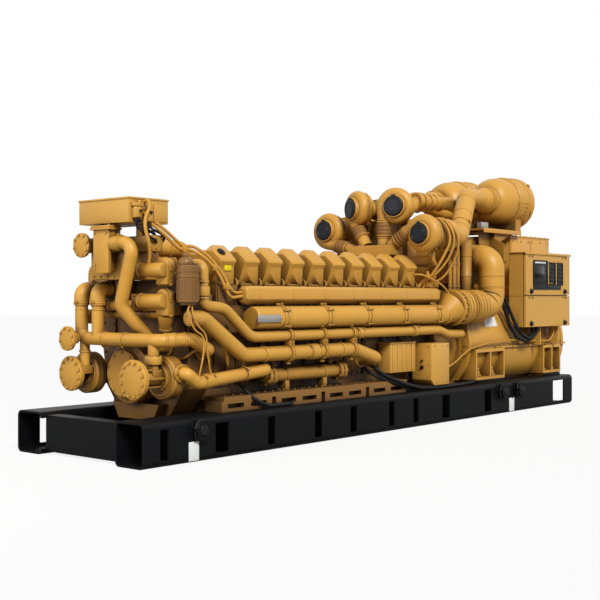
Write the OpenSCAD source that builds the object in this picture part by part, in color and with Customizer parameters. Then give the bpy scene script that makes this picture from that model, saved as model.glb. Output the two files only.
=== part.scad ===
/* [Base frame] */
// Length of the base frame
base_l = 7900; // [6800:10:9200]
// Width over both rails
base_w = 1820; // [1780:10:2000]
// Height of the rails
rail_h = 400; // [340:10:440]
// Width of one rail
rail_w = 378; // [320:2:400]
// Plate thickness of the rails
rail_t = 20; // [12:1:30]
// Length of the window near a rail's end
window_l = 320; // [200:10:400]
// How far a lifting post stands out from its rail
post_out = 80; // [60:5:120]

/* [Engine] */
// Distance from one cylinder to the next
pitch = 341; // [300:0.5:345]
// Cylinders in each bank
bank_n = 10; // [8:1:10]
// Half the width of the block at the heads
block_half_w = 600; // [560:5:620]
// Height of the deck that the heads stand on
deck_z = 1400; // [1360:5:1440]
// Height of one cylinder head
head_h = 200; // [150:5:240]
// Radius of the charge air manifold
manifold_r = 118; // [90:1:122]
// Height of the manifold's middle
manifold_z = 1272; // [1255:1:1280]
// Radius of the upper coolant pipe
upper_pipe_r = 53; // [40:1:58]
// Radius of the lower coolant pipe
lower_pipe_r = 72; // [50:1:80]

/* [Turbochargers] */
// Outer radius of a compressor volute
turbo_r = 235; // [200:5:245]
// Radius of the plug in a compressor inlet
plug_r = 119; // [90:1:125]
// Sideways distance of the outer pair
outer_y = 720; // [700:5:760]
// Height of the outer pair
outer_z = 2230; // [2200:5:2260]
// How much higher the far outer one sits
far_rise = 90; // [0:5:100]
// Sideways distance of the inner pair
inner_y = 291; // [280:1:330]
// Height of the inner pair
inner_z = 2576; // [2560:2:2640]
// Angle that turns each of the inner pair outwards
splay = 20; // [0:1:24]

/* [Exhaust drums] */
// Radius of a drum
drum_r = 320; // [280:5:320]
// Length of a drum behind its neck
drum_l = 730; // [600:10:800]
// Sideways distance of a drum from the middle
drum_y = 362; // [360:1:400]
// Height of a drum's middle
drum_z = 2775; // [2750:5:2800]

/* [Alternator] */
// Radius of the alternator's barrel
barrel_r = 740; // [650:5:750]
// Height of the shaft line
shaft_z = 885; // [870:5:920]
// Length of the alternator's barrel
barrel_l = 2560; // [2300:10:2700]

/* [Control cabinet] */
// Length of the cabinet
cabinet_l = 1240; // [1000:10:1300]
// Height of the cabinet
cabinet_h = 985; // [800:5:1050]
// Depth of the cabinet behind its doors
cabinet_d = 205; // [150:5:210]
// Thickness of a door
door_t = 25; // [16:1:30]
// Gap between a door and its frame
door_gap = 10; // [8:1:14]

/* [Hidden] */
$fn = 48;

yellow = "#d9a441";
shade = "#b5832f";
black = "#26262a";
fit = 0.3;

// lengthwise stations, measured from the middle of the base frame
barrel_x0 = 1500;
barrel_x1 = barrel_x0 + barrel_l;
block_x1 = 930;
bank_x1 = 610;
bank_x0 = bank_x1 - bank_n * pitch;
block_x0 = -2850;
front_x0 = -3150;
// the whole set is moved so that its box is centred on the origin
mid_x = (barrel_x1 - base_l / 2) / 2;
inner_half = base_w / 2 - rail_w;
rail_y = base_w / 2;

// ---------- helpers ----------
module place() translate([-mid_x, 0, 0]) children();

module both() {
    children();
    mirror([0, 1, 0]) children();
}

module block(a, b) translate(a) cube(b - a);

module along_x(x0, x1) translate([x0, 0, 0]) rotate([90, 0, 90]) linear_extrude(x1 - x0) children();

module bar_x(x0, x1, y, z, r, r2 = -1)
    translate([x0, y, z]) rotate([0, 90, 0]) cylinder(h = x1 - x0, r1 = r, r2 = r2 < 0 ? r : r2);

module bar_y(x, y0, y1, z, r) translate([x, y0, z]) rotate([-90, 0, 0]) cylinder(h = y1 - y0, r = r);

module bar_z(x, y, z0, z1, r) translate([x, y, z0]) cylinder(h = z1 - z0, r = r);

module rrect(w, h, r) {
    translate([r, 0]) square([w - 2 * r, h]);
    translate([0, r]) square([w, h - 2 * r]);
    for (x = [r, w - r], y = [r, h - r]) translate([x, y]) circle(r);
}

function unit(v) = v / norm(v);
function side_of(d) = unit(cross(abs(d.z) < 0.9 ? [0, 0, 1] : [1, 0, 0], d));
module frame_at(o, x, y, z)
    multmatrix([[x.x, y.x, z.x, o.x], [x.y, y.y, z.y, o.y], [x.z, y.z, z.z, o.z], [0, 0, 0, 1]]) children();

// a round bar from a to b
module rod(a, b, r, r2 = -1) {
    d = unit(b - a);
    u = side_of(d);
    frame_at(a, u, cross(d, u), d) cylinder(h = norm(b - a), r1 = r, r2 = r2 < 0 ? r : r2);
}

// a flat ring or sleeve around a pipe
module ring_x(x0, x1, y, z, r, bore) difference() {
    bar_x(x0, x1, y, z, r);
    bar_x(x0 - 1, x1 + 1, y, z, bore + fit);
}
module ring_z(x, y, z0, z1, r, bore) difference() {
    bar_z(x, y, z0, z1, r);
    bar_z(x, y, z0 - 1, z1 + 1, bore + fit);
}

// stations [point, direction] of a bend with the given radius at corner i of the route p
function bend_at(p, i, bend) =
    let (d1 = unit(p[i] - p[i - 1]), d2 = unit(p[i + 1] - p[i]),
         turn = acos(d1 * d2), z = unit(cross(d1, d2)), x = cross(d1, z),
         start = p[i] - d1 * bend * tan(turn / 2), steps = max(1, round(turn / 20)))
    [for (k = [0 : steps]) let (a = turn * k / steps, out = x * cos(a) + cross(z, x) * sin(a))
        [start - x * bend + out * bend, cross(z, out)]];

function stations(p, bend) = [
    [p[0], unit(p[1] - p[0])],
    for (i = [1 : 1 : len(p) - 2]) each bend_at(p, i, bend),
    [p[len(p) - 1], unit(p[len(p) - 1] - p[len(p) - 2])]];

// a pipe along the route p, with every corner bent to the same radius, as one swept skin
module pipe(p, r, bend, sides = 16) {
    t = stations(p, bend);
    n = len(t);
    us = [for (i = 0, u = side_of(t[0][1]); i < n;
               i = i + 1, u = i < n ? unit(u - (u * t[i][1]) * t[i][1]) : u) u];
    points = [for (i = [0 : n - 1], k = [0 : sides - 1])
        let (a = 360 * k / sides) t[i][0] + r * (us[i] * cos(a) + cross(t[i][1], us[i]) * sin(a))];
    walls = [for (i = [0 : n - 2], k = [0 : sides - 1])
        let (a = i * sides + k, b = i * sides + (k + 1) % sides)
        each [[a, a + sides, b], [b, a + sides, b + sides]]];
    polyhedron(points, concat(walls, [[for (k = [0 : sides - 1]) k]],
        [[for (k = [sides - 1 : -1 : 0]) (n - 1) * sides + k]]), convexity = 6);
}

// ---------- base frame ----------
slot_x = [-3710, -3005, -2330, -1625, -1045, -360, 110, 730, 1680];
slot_w = [100, 170, 100, 110, 110, 100, 100, 160, 160];
post_x = [-3300, 2000, 2420];

module rail() difference() {
    along_x(-base_l / 2, base_l / 2) translate([-rail_y, 0]) difference() {
        rrect(rail_w, rail_h, 55);
        translate([rail_t, rail_t]) rrect(rail_w - 2 * rail_t, rail_h - 2 * rail_t, 38);
    }
    // slots in the outer web
    for (i = [0 : len(slot_x) - 1])
        block([slot_x[i] - slot_w[i] / 2, -rail_y - 1, 60],
              [slot_x[i] + slot_w[i] / 2, -rail_y + rail_t + 1, 330]);
    // window through the outer web near the rear end, and the inner web cut back behind it
    block([base_l / 2 - 240 - window_l, -rail_y - 1, 58],
          [base_l / 2 - 240, -rail_y + rail_t + 1, rail_h - 58]);
    block([base_l / 2 - 500, -inner_half - rail_t - 1, 58],
          [base_l / 2 + 1, -inner_half + 1, rail_h - 58]);
}

module base_rail_near() color(black) place() rail();
module base_rail_far() color(black) place() rotate([0, 0, 180]) rail();

module base_cross_members() color(black) place() {
    block([-base_l / 2 + 50, -inner_half, 30], [-base_l / 2 + 200, inner_half, rail_h - 30]);
    for (x = [-2900, -1900, -700, 500, 1600, 2700, 3600])
        block([x - 75, -inner_half, 20], [x + 75, inner_half, 150]);
}

module lifting_posts() color(black) place() both() for (x = post_x) {
    bar_y(x, -rail_y - post_out + 22, -rail_y, 290, 62);
    bar_y(x, -rail_y - post_out, -rail_y - post_out + 22, 290, 92);
    block([x - 105, -rail_y - 8, 175], [x + 105, -rail_y, 385]);
}

// ---------- engine ----------
foot_top = rail_h + 100;

module engine_feet() color(shade) place() both()
    for (x = [-2880 : 760 : -600])
        difference() {
            block([x, -780, rail_h], [x + 700, -inner_half - 20, foot_top]);
            block([x + 80, -781, rail_h + 30], [x + 300, -700, foot_top - 25]);
            block([x + 400, -781, rail_h + 30], [x + 620, -700, foot_top - 25]);
        }

module oil_pan() color(shade) place() {
    along_x(block_x0 + 50, block_x1 - 50)
        polygon([[-500, foot_top], [-500, 330], [-400, 200], [400, 200], [500, 330], [500, foot_top]]);
}

valley_z = deck_z - 120;
cover_y = 520;
clamp_x = [-1950, -1420, -932];
lower_z = 925;
return_at = [-430, lower_z - 130];
discharge_at = [-2270, 775];
boss_half = 90;
boss_at = concat([for (x = clamp_x) [x, lower_z]], [return_at, discharge_at]);
module crankcase() color(shade) place() {
    along_x(block_x0, block_x1) polygon([
        [-500, foot_top], [-500, 1060], [-block_half_w, 1140], [-block_half_w, deck_z],
        [-200, deck_z], [-90, valley_z], [90, valley_z], [200, deck_z],
        [block_half_w, deck_z], [block_half_w, 1140], [500, 1060], [500, foot_top]]);
    block([block_x0, -780, foot_top], [110, 780, foot_top + 40]);
    both() {
        // inspection covers
        for (i = [0 : bank_n - 1])
            block([bank_x0 + (i + 0.5) * pitch - 130, -cover_y, 620],
                  [bank_x0 + (i + 0.5) * pitch + 130, -499, 1020]);
        // bosses that the pipes and their clamps seat on
        for (b = boss_at)
            block([b.x - boss_half, -cover_y, b.y - boss_half], [b.x + boss_half, -499, b.y + boss_half]);
    }
}

crank_z = shaft_z - 128;
module front_housing() color(shade) place() {
    along_x(front_x0, block_x0) polygon([
        [-330, 330], [-560, 620], [-620, 1000], [-620, 1500], [-400, 1640], [400, 1640],
        [620, 1500], [620, 1000], [560, 620], [330, 330]]);
    bar_x(front_x0 - 90, front_x0 + 1, 0, crank_z, 300);
    along_x(front_x0 - 110, front_x0) polygon([[-250, 320], [-330, 470], [330, 470], [250, 320]]);
}

module crank_damper() color(yellow) place() {
    bar_x(front_x0 - 210, front_x0 - 90, 0, crank_z, 283);
    bar_x(front_x0 - 275, front_x0 - 209, 0, crank_z, 223);
}

module flywheel_housing() color(shade) place() intersection() {
    union() {
        bar_x(block_x1, block_x1 + 60, 0, shaft_z, 620);
        bar_x(block_x1 + 60, barrel_x0 - 60, 0, shaft_z, 600);
        bar_x(barrel_x0 - 60, barrel_x0, 0, shaft_z, 650);
    }
    union() {
        block([block_x1, -800, rail_h + 20], [barrel_x0, 800, 1800]);
        block([block_x1, -500, 200], [barrel_x0, 500, rail_h + 20]);
    }
}

head_z1 = deck_z + head_h;

module cylinder_heads() color(shade) place() both() for (i = [0 : bank_n - 1])
    block([bank_x0 + i * pitch + 22, -block_half_w, deck_z], [bank_x0 + (i + 1) * pitch - 22, -160, head_z1]);

cover_start = 60;
cover_l = 215;
// cover of one cylinder, a narrow hood outside and a low lid inside, its front cut away below and above
module valve_cover(x) difference() {
    along_x(x, x + cover_l) polygon([
        [-585, head_z1], [-600, head_z1 + 130], [-620, head_z1 + 235], [-612, head_z1 + 250],
        [-510, head_z1 + 342], [-455, head_z1 + 380], [-425, head_z1 + 386], [-412, head_z1 + 376],
        [-405, head_z1 + 300], [-220, head_z1 + 290], [-200, head_z1]]);
    translate([0, -560, 0]) rotate([90, 0, 0]) linear_extrude(100)
        polygon([[x - 1, head_z1 - 1], [x + 170, head_z1 - 1], [x - 1, head_z1 + 135]]);
    translate([0, -400, 0]) rotate([90, 0, 0]) linear_extrude(250)
        polygon([[x - 1, head_z1 + 240], [x, head_z1 + 240],
                 [x + 60, head_z1 + 390], [x - 1, head_z1 + 390]]);
}

module cover_row() for (i = [0 : bank_n - 1])
    valve_cover(bank_x0 + i * pitch + cover_start);

module valve_covers_near() color(yellow) place() cover_row();
module valve_covers_far() color(yellow) place() mirror([0, 1, 0]) cover_row();

// long eight-sided covers over the fuel rails
module fuel_rail_covers() color(yellow) place() both()
    along_x(bank_x0 + 320, bank_x1 + 285) polygon([
        [-block_half_w, 1430], [-block_half_w, 1560], [-625, 1588], [-700, 1588],
        [-722, 1566], [-722, 1458], [-672, 1406], [-625, 1406]]);

ring_out = 10;
manifold_y = block_half_w + manifold_r + ring_out + fit;
manifold_x0 = bank_x0 + 375;
manifold_x1 = bank_x1 + 300;

module air_manifold() {
    bar_x(manifold_x0, manifold_x1, -manifold_y, manifold_z, manifold_r);
    for (x = [manifold_x0 + pitch + 30 : 2 * pitch : manifold_x1 - 80])
        for (s = [0, 55]) bar_x(x + s, x + s + 22, -manifold_y, manifold_z, manifold_r + ring_out);
}
module air_manifold_near() color(yellow) place() air_manifold();
module air_manifold_far() color(yellow) place() mirror([0, 1, 0]) air_manifold();

// transition, bellows and elbow that lead the charge air up to the aftercooler
elbow_y = 775;
elbow_z = manifold_z + 100;
elbow_r = 165;
elbow_x = 1990;
duct_z = 1990;
cooler_half = 420;
module charge_air_elbows() color(yellow) place() both() {
    bar_x(manifold_x1 + fit, manifold_x1 + 35, -manifold_y, manifold_z, manifold_r + 9);
    rod([manifold_x1 + 25, -manifold_y, manifold_z], [1390, -manifold_y - 20, elbow_z - 20], manifold_r, 205);
    bar_x(1385, 1470, -manifold_y - 20, elbow_z - 20, 220);
    for (i = [0 : 3]) bar_x(1470 + i * 40, 1470 + i * 40 + 20, -elbow_y, elbow_z, 172);
    bar_x(1460, 1640, -elbow_y, elbow_z, 150);
    pipe([[1640 + fit, -elbow_y, elbow_z], [elbow_x, -elbow_y, elbow_z], [elbow_x, -elbow_y, duct_z],
          [elbow_x, -cooler_half - 20 - fit, duct_z]], elbow_r, 230, 20);
}

cooler_x0 = 1560;
cooler_x1 = 2400;
module aftercooler() color(shade) place() difference() {
    union() {
        block([cooler_x0, -cooler_half, 1660], [cooler_x1, cooler_half, 2260]);
        block([1820, -cooler_half - 20, 1700], [2300, cooler_half + 20, 2220]);
        for (x = [1620, 2260]) block([x, -300, 1500], [x + 80, 300, 1661]);
        // breather columns on both sides
        both() {
            translate([1745, -545, 1500]) cylinder(h = 706, r1 = 40, r2 = 78);
            for (z = [1720, 2080]) block([1715, -545, z], [1775, -cooler_half + 1, z + 60]);
        }
    }
    bar_x(1500, 2500, 0, shaft_z, barrel_r + fit);
}

collector_z0 = 1992;
collector_z1 = 2110;
collector_x0 = 425;
collector_x1 = 665;
module collector() block([collector_x0, -330, collector_z0], [collector_x1, 330, collector_z1]);

module charge_air_plenum() color(shade) place() {
    along_x(-520, block_x1 - 20) polygon([
        [-85, valley_z], [85, valley_z], [150, deck_z - 40], [150, 1900], [-150, 1900], [-150, deck_z - 40]]);
    block([block_x1 - 21, -120, 1660], [cooler_x0 - fit, 120, 1860]);
    block([collector_x0, -150, 1899], [collector_x1, 150, collector_z0 + 1]);
    collector();
    // pedestal under the turbines of the inner pair
    block([770, -330, 1860], [950, 330, inner_z - inner_turbine[2] - fit]);
}

// ---------- turbochargers ----------
volute_t = 85;
ring_r = turbo_r - volute_t;
outlet_r = 62;
stub_l = 265;

// near outer, near inner, far inner, far outer: place along, turn, middle across, outlet's aim
turbo_x = [545, 577, 577, 545];
turbo_turn = [0, splay, -splay, 0];
centre = [[-outer_y, outer_z], [-inner_y, inner_z], [inner_y, inner_z], [outer_y, outer_z + far_rise]];
target = [[-270, collector_z1], [ring_r - inner_y, collector_z1], [85, collector_z1],
          [330, collector_z1 - 50]];
// the turbine housing of the outer and of the inner pair: start, end, radius
outer_turbine = [300, 530, 200];
inner_turbine = [250, 430, 140];
function turbine(i) = i == 0 || i == 3 ? outer_turbine : inner_turbine;

// where the outlet leaves the volute around c, to run straight to t, both in the volute's plane
function leave_at(c, t) =
    let (v = t - c, a = atan2(v.y, v.x) + acos(ring_r / norm(v))) c + ring_r * [cos(a), sin(a)];
function in_3d(i, p) =
    let (c = centre[i], a = turbo_turn[i], s = p.x - c.x) [turbo_x[i] - sin(a) * s, c.x + cos(a) * s, p.y];
// a point on the turbocharger's own shaft line, l behind the volute
function on_shaft(i, l) =
    let (c = centre[i], a = turbo_turn[i]) [turbo_x[i] + cos(a) * l, c.x + sin(a) * l, c.y];
module seat(i) translate([turbo_x[i], centre[i].x, centre[i].y]) rotate([0, 0, turbo_turn[i]]) children();

module turbo(i) {
    p = leave_at(centre[i], target[i]);
    d = unit(target[i] - p);
    t = turbine(i);
    difference() {
        union() {
            seat(i) {
                rotate([0, 90, 0]) rotate_extrude() translate([ring_r, 0]) circle(volute_t);
                bar_x(-110, 60, 0, 0, plug_r + 14, ring_r);
                bar_x(30, 130, 0, 0, turbo_r - 40);
                bar_x(130, t[0], 0, 0, t[2] - 50);
                bar_x(t[0], t[1], 0, 0, t[2]);
            }
            rod(in_3d(i, p), in_3d(i, p + d * stub_l), volute_t - 5, outlet_r);
            rod(in_3d(i, p + d * (stub_l - 15)), in_3d(i, p + d * stub_l), outlet_r + 14);
        }
        seat(i) bar_x(-400, -10, 0, 0, plug_r);
    }
}

module turbo_outer_near() color(yellow) place() turbo(0);
module turbo_inner_near() color(yellow) place() turbo(1);
module turbo_inner_far() color(yellow) place() turbo(2);
module turbo_outer_far() color(yellow) place() turbo(3);

module compressor_outlets() color(yellow) place() difference() {
    for (i = [0 : 3]) {
        p = leave_at(centre[i], target[i]);
        d = unit(target[i] - p);
        rod(in_3d(i, p + d * (stub_l + fit)), in_3d(i, target[i] + d * 60), outlet_r);
        rod(in_3d(i, p + d * (stub_l + fit)), in_3d(i, p + d * (stub_l + 90)), outlet_r + 12);
    }
    collector();
}

plug_out = 125;
module inlet_plugs() color(black) place() for (i = [0 : 3])
    seat(i) bar_x(-plug_out, -10 - fit, 0, 0, plug_r - fit);

// ---------- exhaust ----------
neck_x0 = 2400;
neck_x1 = 2560;
neck_r = 180;
neck_y = drum_y + 50;
dome_x0 = 2520;
dome_x1 = 2800;
dome_tip_r = 170;
band_x0 = 2880;
drum_x1 = dome_x0 + drum_l;
drum_clamp_x = drum_x1 - 100;
band_r = drum_r + 20;
drum_clamp_r = drum_r + 36;

// outline of a drum's front, from its middle out to the straight shell, made larger by grow
function dome(grow) = concat(
    [[0, dome_x0 - grow]],
    [for (a = [0 : 15 : 90])
        [dome_tip_r + grow + (drum_r - dome_tip_r) * sin(a), dome_x1 - grow - (dome_x1 - dome_x0) * cos(a)]],
    [[drum_r + grow, band_x0]]);

module revolved(outline) translate([0, -drum_y, drum_z]) rotate([0, 90, 0]) rotate_extrude() polygon(outline);

// drum with a domed front, a wider band and a clamp ring at its rear end
module drum() {
    revolved(concat(dome(0), [
        [band_r, band_x0 + 15], [band_r, drum_clamp_x], [drum_clamp_r, drum_clamp_x],
        [drum_clamp_r, drum_x1], [0, drum_x1]]));
    bar_x(neck_x0, neck_x1, -neck_y, drum_z, neck_r - 12);
    bar_x(neck_x0, neck_x0 + 50, -neck_y, drum_z, neck_r);
}
module exhaust_drum_near() color(yellow) place() drum();
module exhaust_drum_far() color(yellow) place() mirror([0, 1, 0]) drum();

duct_r = 110;
inner_duct_r = 85;
inner_end = [drum_y - 172, drum_z - 150];
reducer_l = 150;

// ducts of the near pair of turbochargers, the outer one at height z
module duct_pair(z) {
    pipe([[turbo_x[0] + outer_turbine[1] + fit, -outer_y, z], [1290, -outer_y, z],
          [1960, -neck_y - 20, drum_z], [neck_x0 - reducer_l + 1, -neck_y, drum_z]], duct_r, 170, 20);
    bar_x(neck_x0 - reducer_l, neck_x0 - fit, -neck_y, drum_z, duct_r, neck_r - 12);
    difference() {
        pipe([on_shaft(1, inner_turbine[1] + fit), on_shaft(1, inner_turbine[1] + 70),
              [1250, -165, drum_z - 80], [1900, -200, drum_z - 75],
              [2300, -inner_end.x, inner_end.y], [2760, -inner_end.x, inner_end.y]],
             inner_duct_r, 150, 20);
        // cut off just short of the drum's front
        revolved(concat(dome(2), [[0, band_x0]]));
    }
}

module exhaust_ducts() color(yellow) place() {
    duct_pair(outer_z);
    mirror([0, 1, 0]) duct_pair(outer_z + far_rise);
}

// shelf that carries the drums, its side plates on the aftercooler, gussets and saddles
shelf_x0 = 2080;
shelf_x1 = 3050;
shelf_y = 610;
shelf_z0 = 2355;
shelf_z1 = 2380;
module drum_shelf() color(shade) place() {
    block([shelf_x0, -shelf_y, shelf_z0], [shelf_x1, shelf_y, shelf_z1]);
    both() {
        difference() {
            block([2140, -505, 1815], [2420, -490, shelf_z0 + 1]);
            bar_y(elbow_x, -506, -489, duct_z, elbow_r + fit);
        }
        for (z = [1850, 2140]) block([2330, -491, z], [2390, -cooler_half - fit, z + 60]);
        along_x(2405, 2420) polygon([[-504, 1815], [-504, 2293], [-700, 2190], [-715, 2190], [-715, 1815]]);
        translate([0, -550, 0]) rotate([90, 0, 0]) linear_extrude(15)
            polygon([[2419, 2175], [2620, 2240], [2780, 2300],
                     [shelf_x1, shelf_z0 + 1], [2419, shelf_z0 + 1]]);
        block([2419, -551, 2175], [2435, -504, shelf_z0 + 1]);
        difference() {
            block([2900, -shelf_y, shelf_z1 - 1], [3040, -140, drum_z - 230]);
            bar_x(2899, 3041, -drum_y, drum_z, band_r + fit);
        }
    }
}

// ---------- coolant ----------
side_y = 790;
upper_z = 1095;

coupling_x = -3135;
coupling_z = 1490;
coupling_h = 85;
coupling_half = 50;
module coolant_pipes() {
    pipe([[coupling_x, -side_y, coupling_z - fit], [coupling_x, -side_y, 1400], [-2980, -side_y, 1386]],
         upper_pipe_r, 58);
    pipe([[-2981, -side_y, 1386], [-2860, -side_y, 1375], [-2500, -side_y, upper_z],
          [740, -side_y, upper_z], [930, -side_y, upper_z - 55], [1250, -side_y, upper_z - 60]],
         upper_pipe_r, 110);
    block([coupling_x - coupling_half, -side_y - coupling_half, coupling_z],
          [coupling_x + coupling_half, -side_y + coupling_half, coupling_z + coupling_h]);
    pipe([[coupling_x, -side_y, coupling_z + coupling_h + fit], [coupling_x, -side_y, 1775],
          [coupling_x, -560, 1775], [-2940, -430, 1775]], upper_pipe_r, 70);
    pipe([[-3310, -side_y, 1290], [-3130, -side_y, 1283], [-2600, -side_y, lower_z],
          [-890, -side_y, lower_z], [return_at.x, -side_y, return_at.y],
          [return_at.x, -cover_y - fit, return_at.y]],
         lower_pipe_r, 110);
}

// saddles that hold both pipes of a side, and the sleeves over their joints
module pipe_clamps() color(shade) place() both() {
    for (x = clamp_x) difference() {
        union() {
            bar_x(x - 20, x + 20, -side_y, upper_z, upper_pipe_r + 12);
            bar_x(x - 20, x + 20, -side_y, lower_z, lower_pipe_r + 12);
            block([x - 20, -side_y - 20, lower_z], [x + 20, -side_y + 20, upper_z]);
            block([x - 20, -side_y + 20, lower_z - 30], [x + 20, -cover_y - fit, lower_z + 30]);
        }
        bar_x(x - 21, x + 21, -side_y, upper_z, upper_pipe_r + fit);
        bar_x(x - 21, x + 21, -side_y, lower_z, lower_pipe_r + fit);
    }
    ring_x(-1640, -1530, -side_y, lower_z, lower_pipe_r + 9, lower_pipe_r);
    ring_x(-850, -775, -side_y, upper_z, upper_pipe_r + 9, upper_pipe_r);
    ring_x(200, 260, -side_y, upper_z, upper_pipe_r + 9, upper_pipe_r);
}
module coolant_pipes_near() color(yellow) place() coolant_pipes();
module coolant_pipes_far() color(yellow) place() mirror([0, 1, 0]) coolant_pipes();

cooler_y = 660;
cooler_z = 700;
module side_coolers() color(shade) place() both() {
    bar_x(-2100, -1040, -cooler_y, cooler_z, 72);
    for (x = [-2170, -2110, -1050, -990]) bar_x(x, x + 40, -cooler_y, cooler_z, 100);
    bar_x(-2200, -900, -cooler_y, cooler_z, 60);
    for (x = [-1900, -1300]) block([x, -cooler_y - 50, foot_top + 40], [x + 60, -cooler_y + 50, cooler_z]);
}

pump_y = 550;
pump_z = 745;
cross_x = -3520;
cross_z = 1085;
cross_r = 62;
riser_y = 485;
riser_r = 56;
inner_riser_y = 240;
elbow_riser_r = 72;
riser_elbow_z = 1555;
cooler_end_y = 215;
cross_box_z = 2044;
thermostat_x = -3360;
pump_neck_r = 62;
leg_z = pump_z + pump_neck_r + 20;
// volute casing, dished cover, neck with a pad for the leg, and the bolted inlet flange
module water_pump(inlet_x) {
    bar_x(-3440, -3300, -pump_y, pump_z, 200);
    bar_x(-3301, front_x0 - fit, -pump_y, pump_z, 120);
    bar_x(-3465, -3439, -pump_y, pump_z, 120);
    bar_x(inlet_x + 39, -3464, -pump_y, pump_z, pump_neck_r);
    block([cross_x - 60, -pump_y - 60, pump_z], [cross_x + 60, -riser_y + 100, leg_z]);
    bar_x(inlet_x, inlet_x + 40, -pump_y, pump_z, 178);
    block([-3430, -pump_y - 200, pump_z - 40], [-3310, -pump_y - 100, pump_z + 100]);
}
module water_pumps() color(yellow) place() {
    water_pump(-3770);
    mirror([0, 1, 0]) water_pump(-3610);
}

// discharge of each pump, along the side of the engine
module pump_discharges() color(yellow) place() both()
    pipe([[-3370, -pump_y - 200 - fit, pump_z + 45], [-3370, -side_y - 40, pump_z + 45],
          [-3240, -side_y - 40, pump_z - 45], [discharge_at.x, -side_y - 20, discharge_at.y],
          [discharge_at.x, -cover_y - fit, discharge_at.y]], 60, 65);

module riser_elbow(y)
    pipe([[cross_x, y, 1415], [cross_x, y, riser_elbow_z], [thermostat_x - fit, y, riser_elbow_z]],
         elbow_riser_r, 75);
module front_pipes() color(yellow) place() {
    // cross pipe in front of the housing, bent up into the outer riser and back to the engine's side
    pipe([[cross_x, riser_y, 1416], [cross_x, riser_y, cross_z], [cross_x, -620, cross_z],
          [-3235, -745, cross_z + 10], [-2995, -745, 980], [-2995, -620 - fit, 980]], cross_r, 70);
    riser_elbow(riser_y);
    // inner riser, from the cross pipe up
    bar_z(cross_x, inner_riser_y, cross_z, 1416, cross_r);
    riser_elbow(inner_riser_y);
    // legs down to the pumps
    bar_z(cross_x, riser_y - 50, leg_z + fit, cross_z, 48);
    bar_z(cross_x, -pump_y, leg_z + fit, cross_z, 50);
    bar_z(cross_x, -pump_y, 925, 1000, 80);
}

module blind_flange(x, y, z, l, r, neck) {
    bar_x(x, x + 40, y, z, r);
    bar_x(x + 39, x + l, y, z, neck);
}
module blind_flanges() color(yellow) place() {
    blind_flange(-3640, 345, 1970, 190 - fit, 118, 72);
    blind_flange(-3700, riser_y, cross_z, 180 - cross_r - fit, 118, 52);
}

module s_pipe() color(yellow) place()
    pipe([[-3620, -110 - fit, 1975], [-3620, -400, 1975], [-3600, -190, 1400], [-3290, -330, 1010],
          [front_x0 - fit, -330, 1010]], 62, 110);

module thermostat_housing() color(yellow) place() {
    // front plate and the narrower body behind it
    block([-3680, -110, 1700], [-3640, 110, 2100]);
    block([-3641, -110, 1890], [-3559, 110, 2100]);
    block([-3641, -60, 1720], [-3554, 60, 1891]);
    block([-3700, -140, 2100], [-3540, 140, 2140]);
    block([-3555, -cooler_end_y, 1641], [front_x0, 300, 1900]);
    // cross box, and the fat pipe from it back and down into the valley
    block([-3450, -424, 1899], [-3290, 424, cross_box_z]);
    pipe([[-3291, 0, 1958], [-2680, 0, 1958], [-2490, 0, 1760], [-2490, 0, valley_z + fit]], 85, 140, 20);
    block([thermostat_x, 130, 1460], [front_x0 - fit, 560, 1700]);
}

module engine_control_box() color(yellow) place() {
    block([-3650, -356, 2160], [-3166, 356, 2380]);
    block([-3659, -365, 2380], [-3157, 365, 2392]);
    for (y = [-250, 170]) block([-3400, y, cross_box_z + fit], [-3300, y + 80, 2161]);
}

// transverse tube with a square flange, in front of an arched casting
module oil_cooler(z) {
    bar_y(-3440, -600, -cooler_end_y - 30 - fit, z, 65);
    block([-3500, -cooler_end_y - 30 - fit, z - 65], [-3380, -cooler_end_y - fit, z + 65]);
    block([-3420, -620, z - 135], [-3320, -470, z + 35]);
    bar_x(-3420, -3320, -545, z + 35, 75);
    block([-3321, -560, z - 130], [front_x0 - fit, -480, z - 20]);
}
module oil_coolers() color(yellow) place() {
    for (z = [1443, 1727]) oil_cooler(z);
    // neck below, and the tubes that cross the front
    rod([-3370, -545, 1315], [-3330, -500, 1180], 75, 50);
    bar_y(-3375, -471, 330, 1400, 50);
    bar_y(-3330, -471, 330, 1320, 40);
}

filter_at = [-3305, -772];
module oil_filter() color(shade) place() {
    bar_z(filter_at.x, filter_at.y, 1425, 1770, 100);
    bar_z(filter_at.x, filter_at.y, 1405, 1426, 75);
    block([filter_at.x, -734, 1440], [-3190, -480, 1520]);
    block([-3191, -600, 1440], [front_x0 - fit, -480, 1520]);
}

// ---------- alternator ----------
module barrel_solid(x0, x1, r) intersection() {
    bar_x(x0, x1, 0, shaft_z, r);
    union() {
        block([x0, -900, rail_h + 40], [x1, 900, 2000]);
        block([x0, -inner_half + 12, 190], [x1, inner_half - 12, rail_h + 40]);
    }
}

module alternator() color(yellow) place() {
    barrel_solid(barrel_x0, barrel_x1 - 40, barrel_r);
    barrel_solid(barrel_x1 - 40, barrel_x1, barrel_r - 25);
}

foot_y = 800;
foot_z0 = rail_h + 45;
foot_z1 = shaft_z - 55;
foot_wall = 28;
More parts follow.
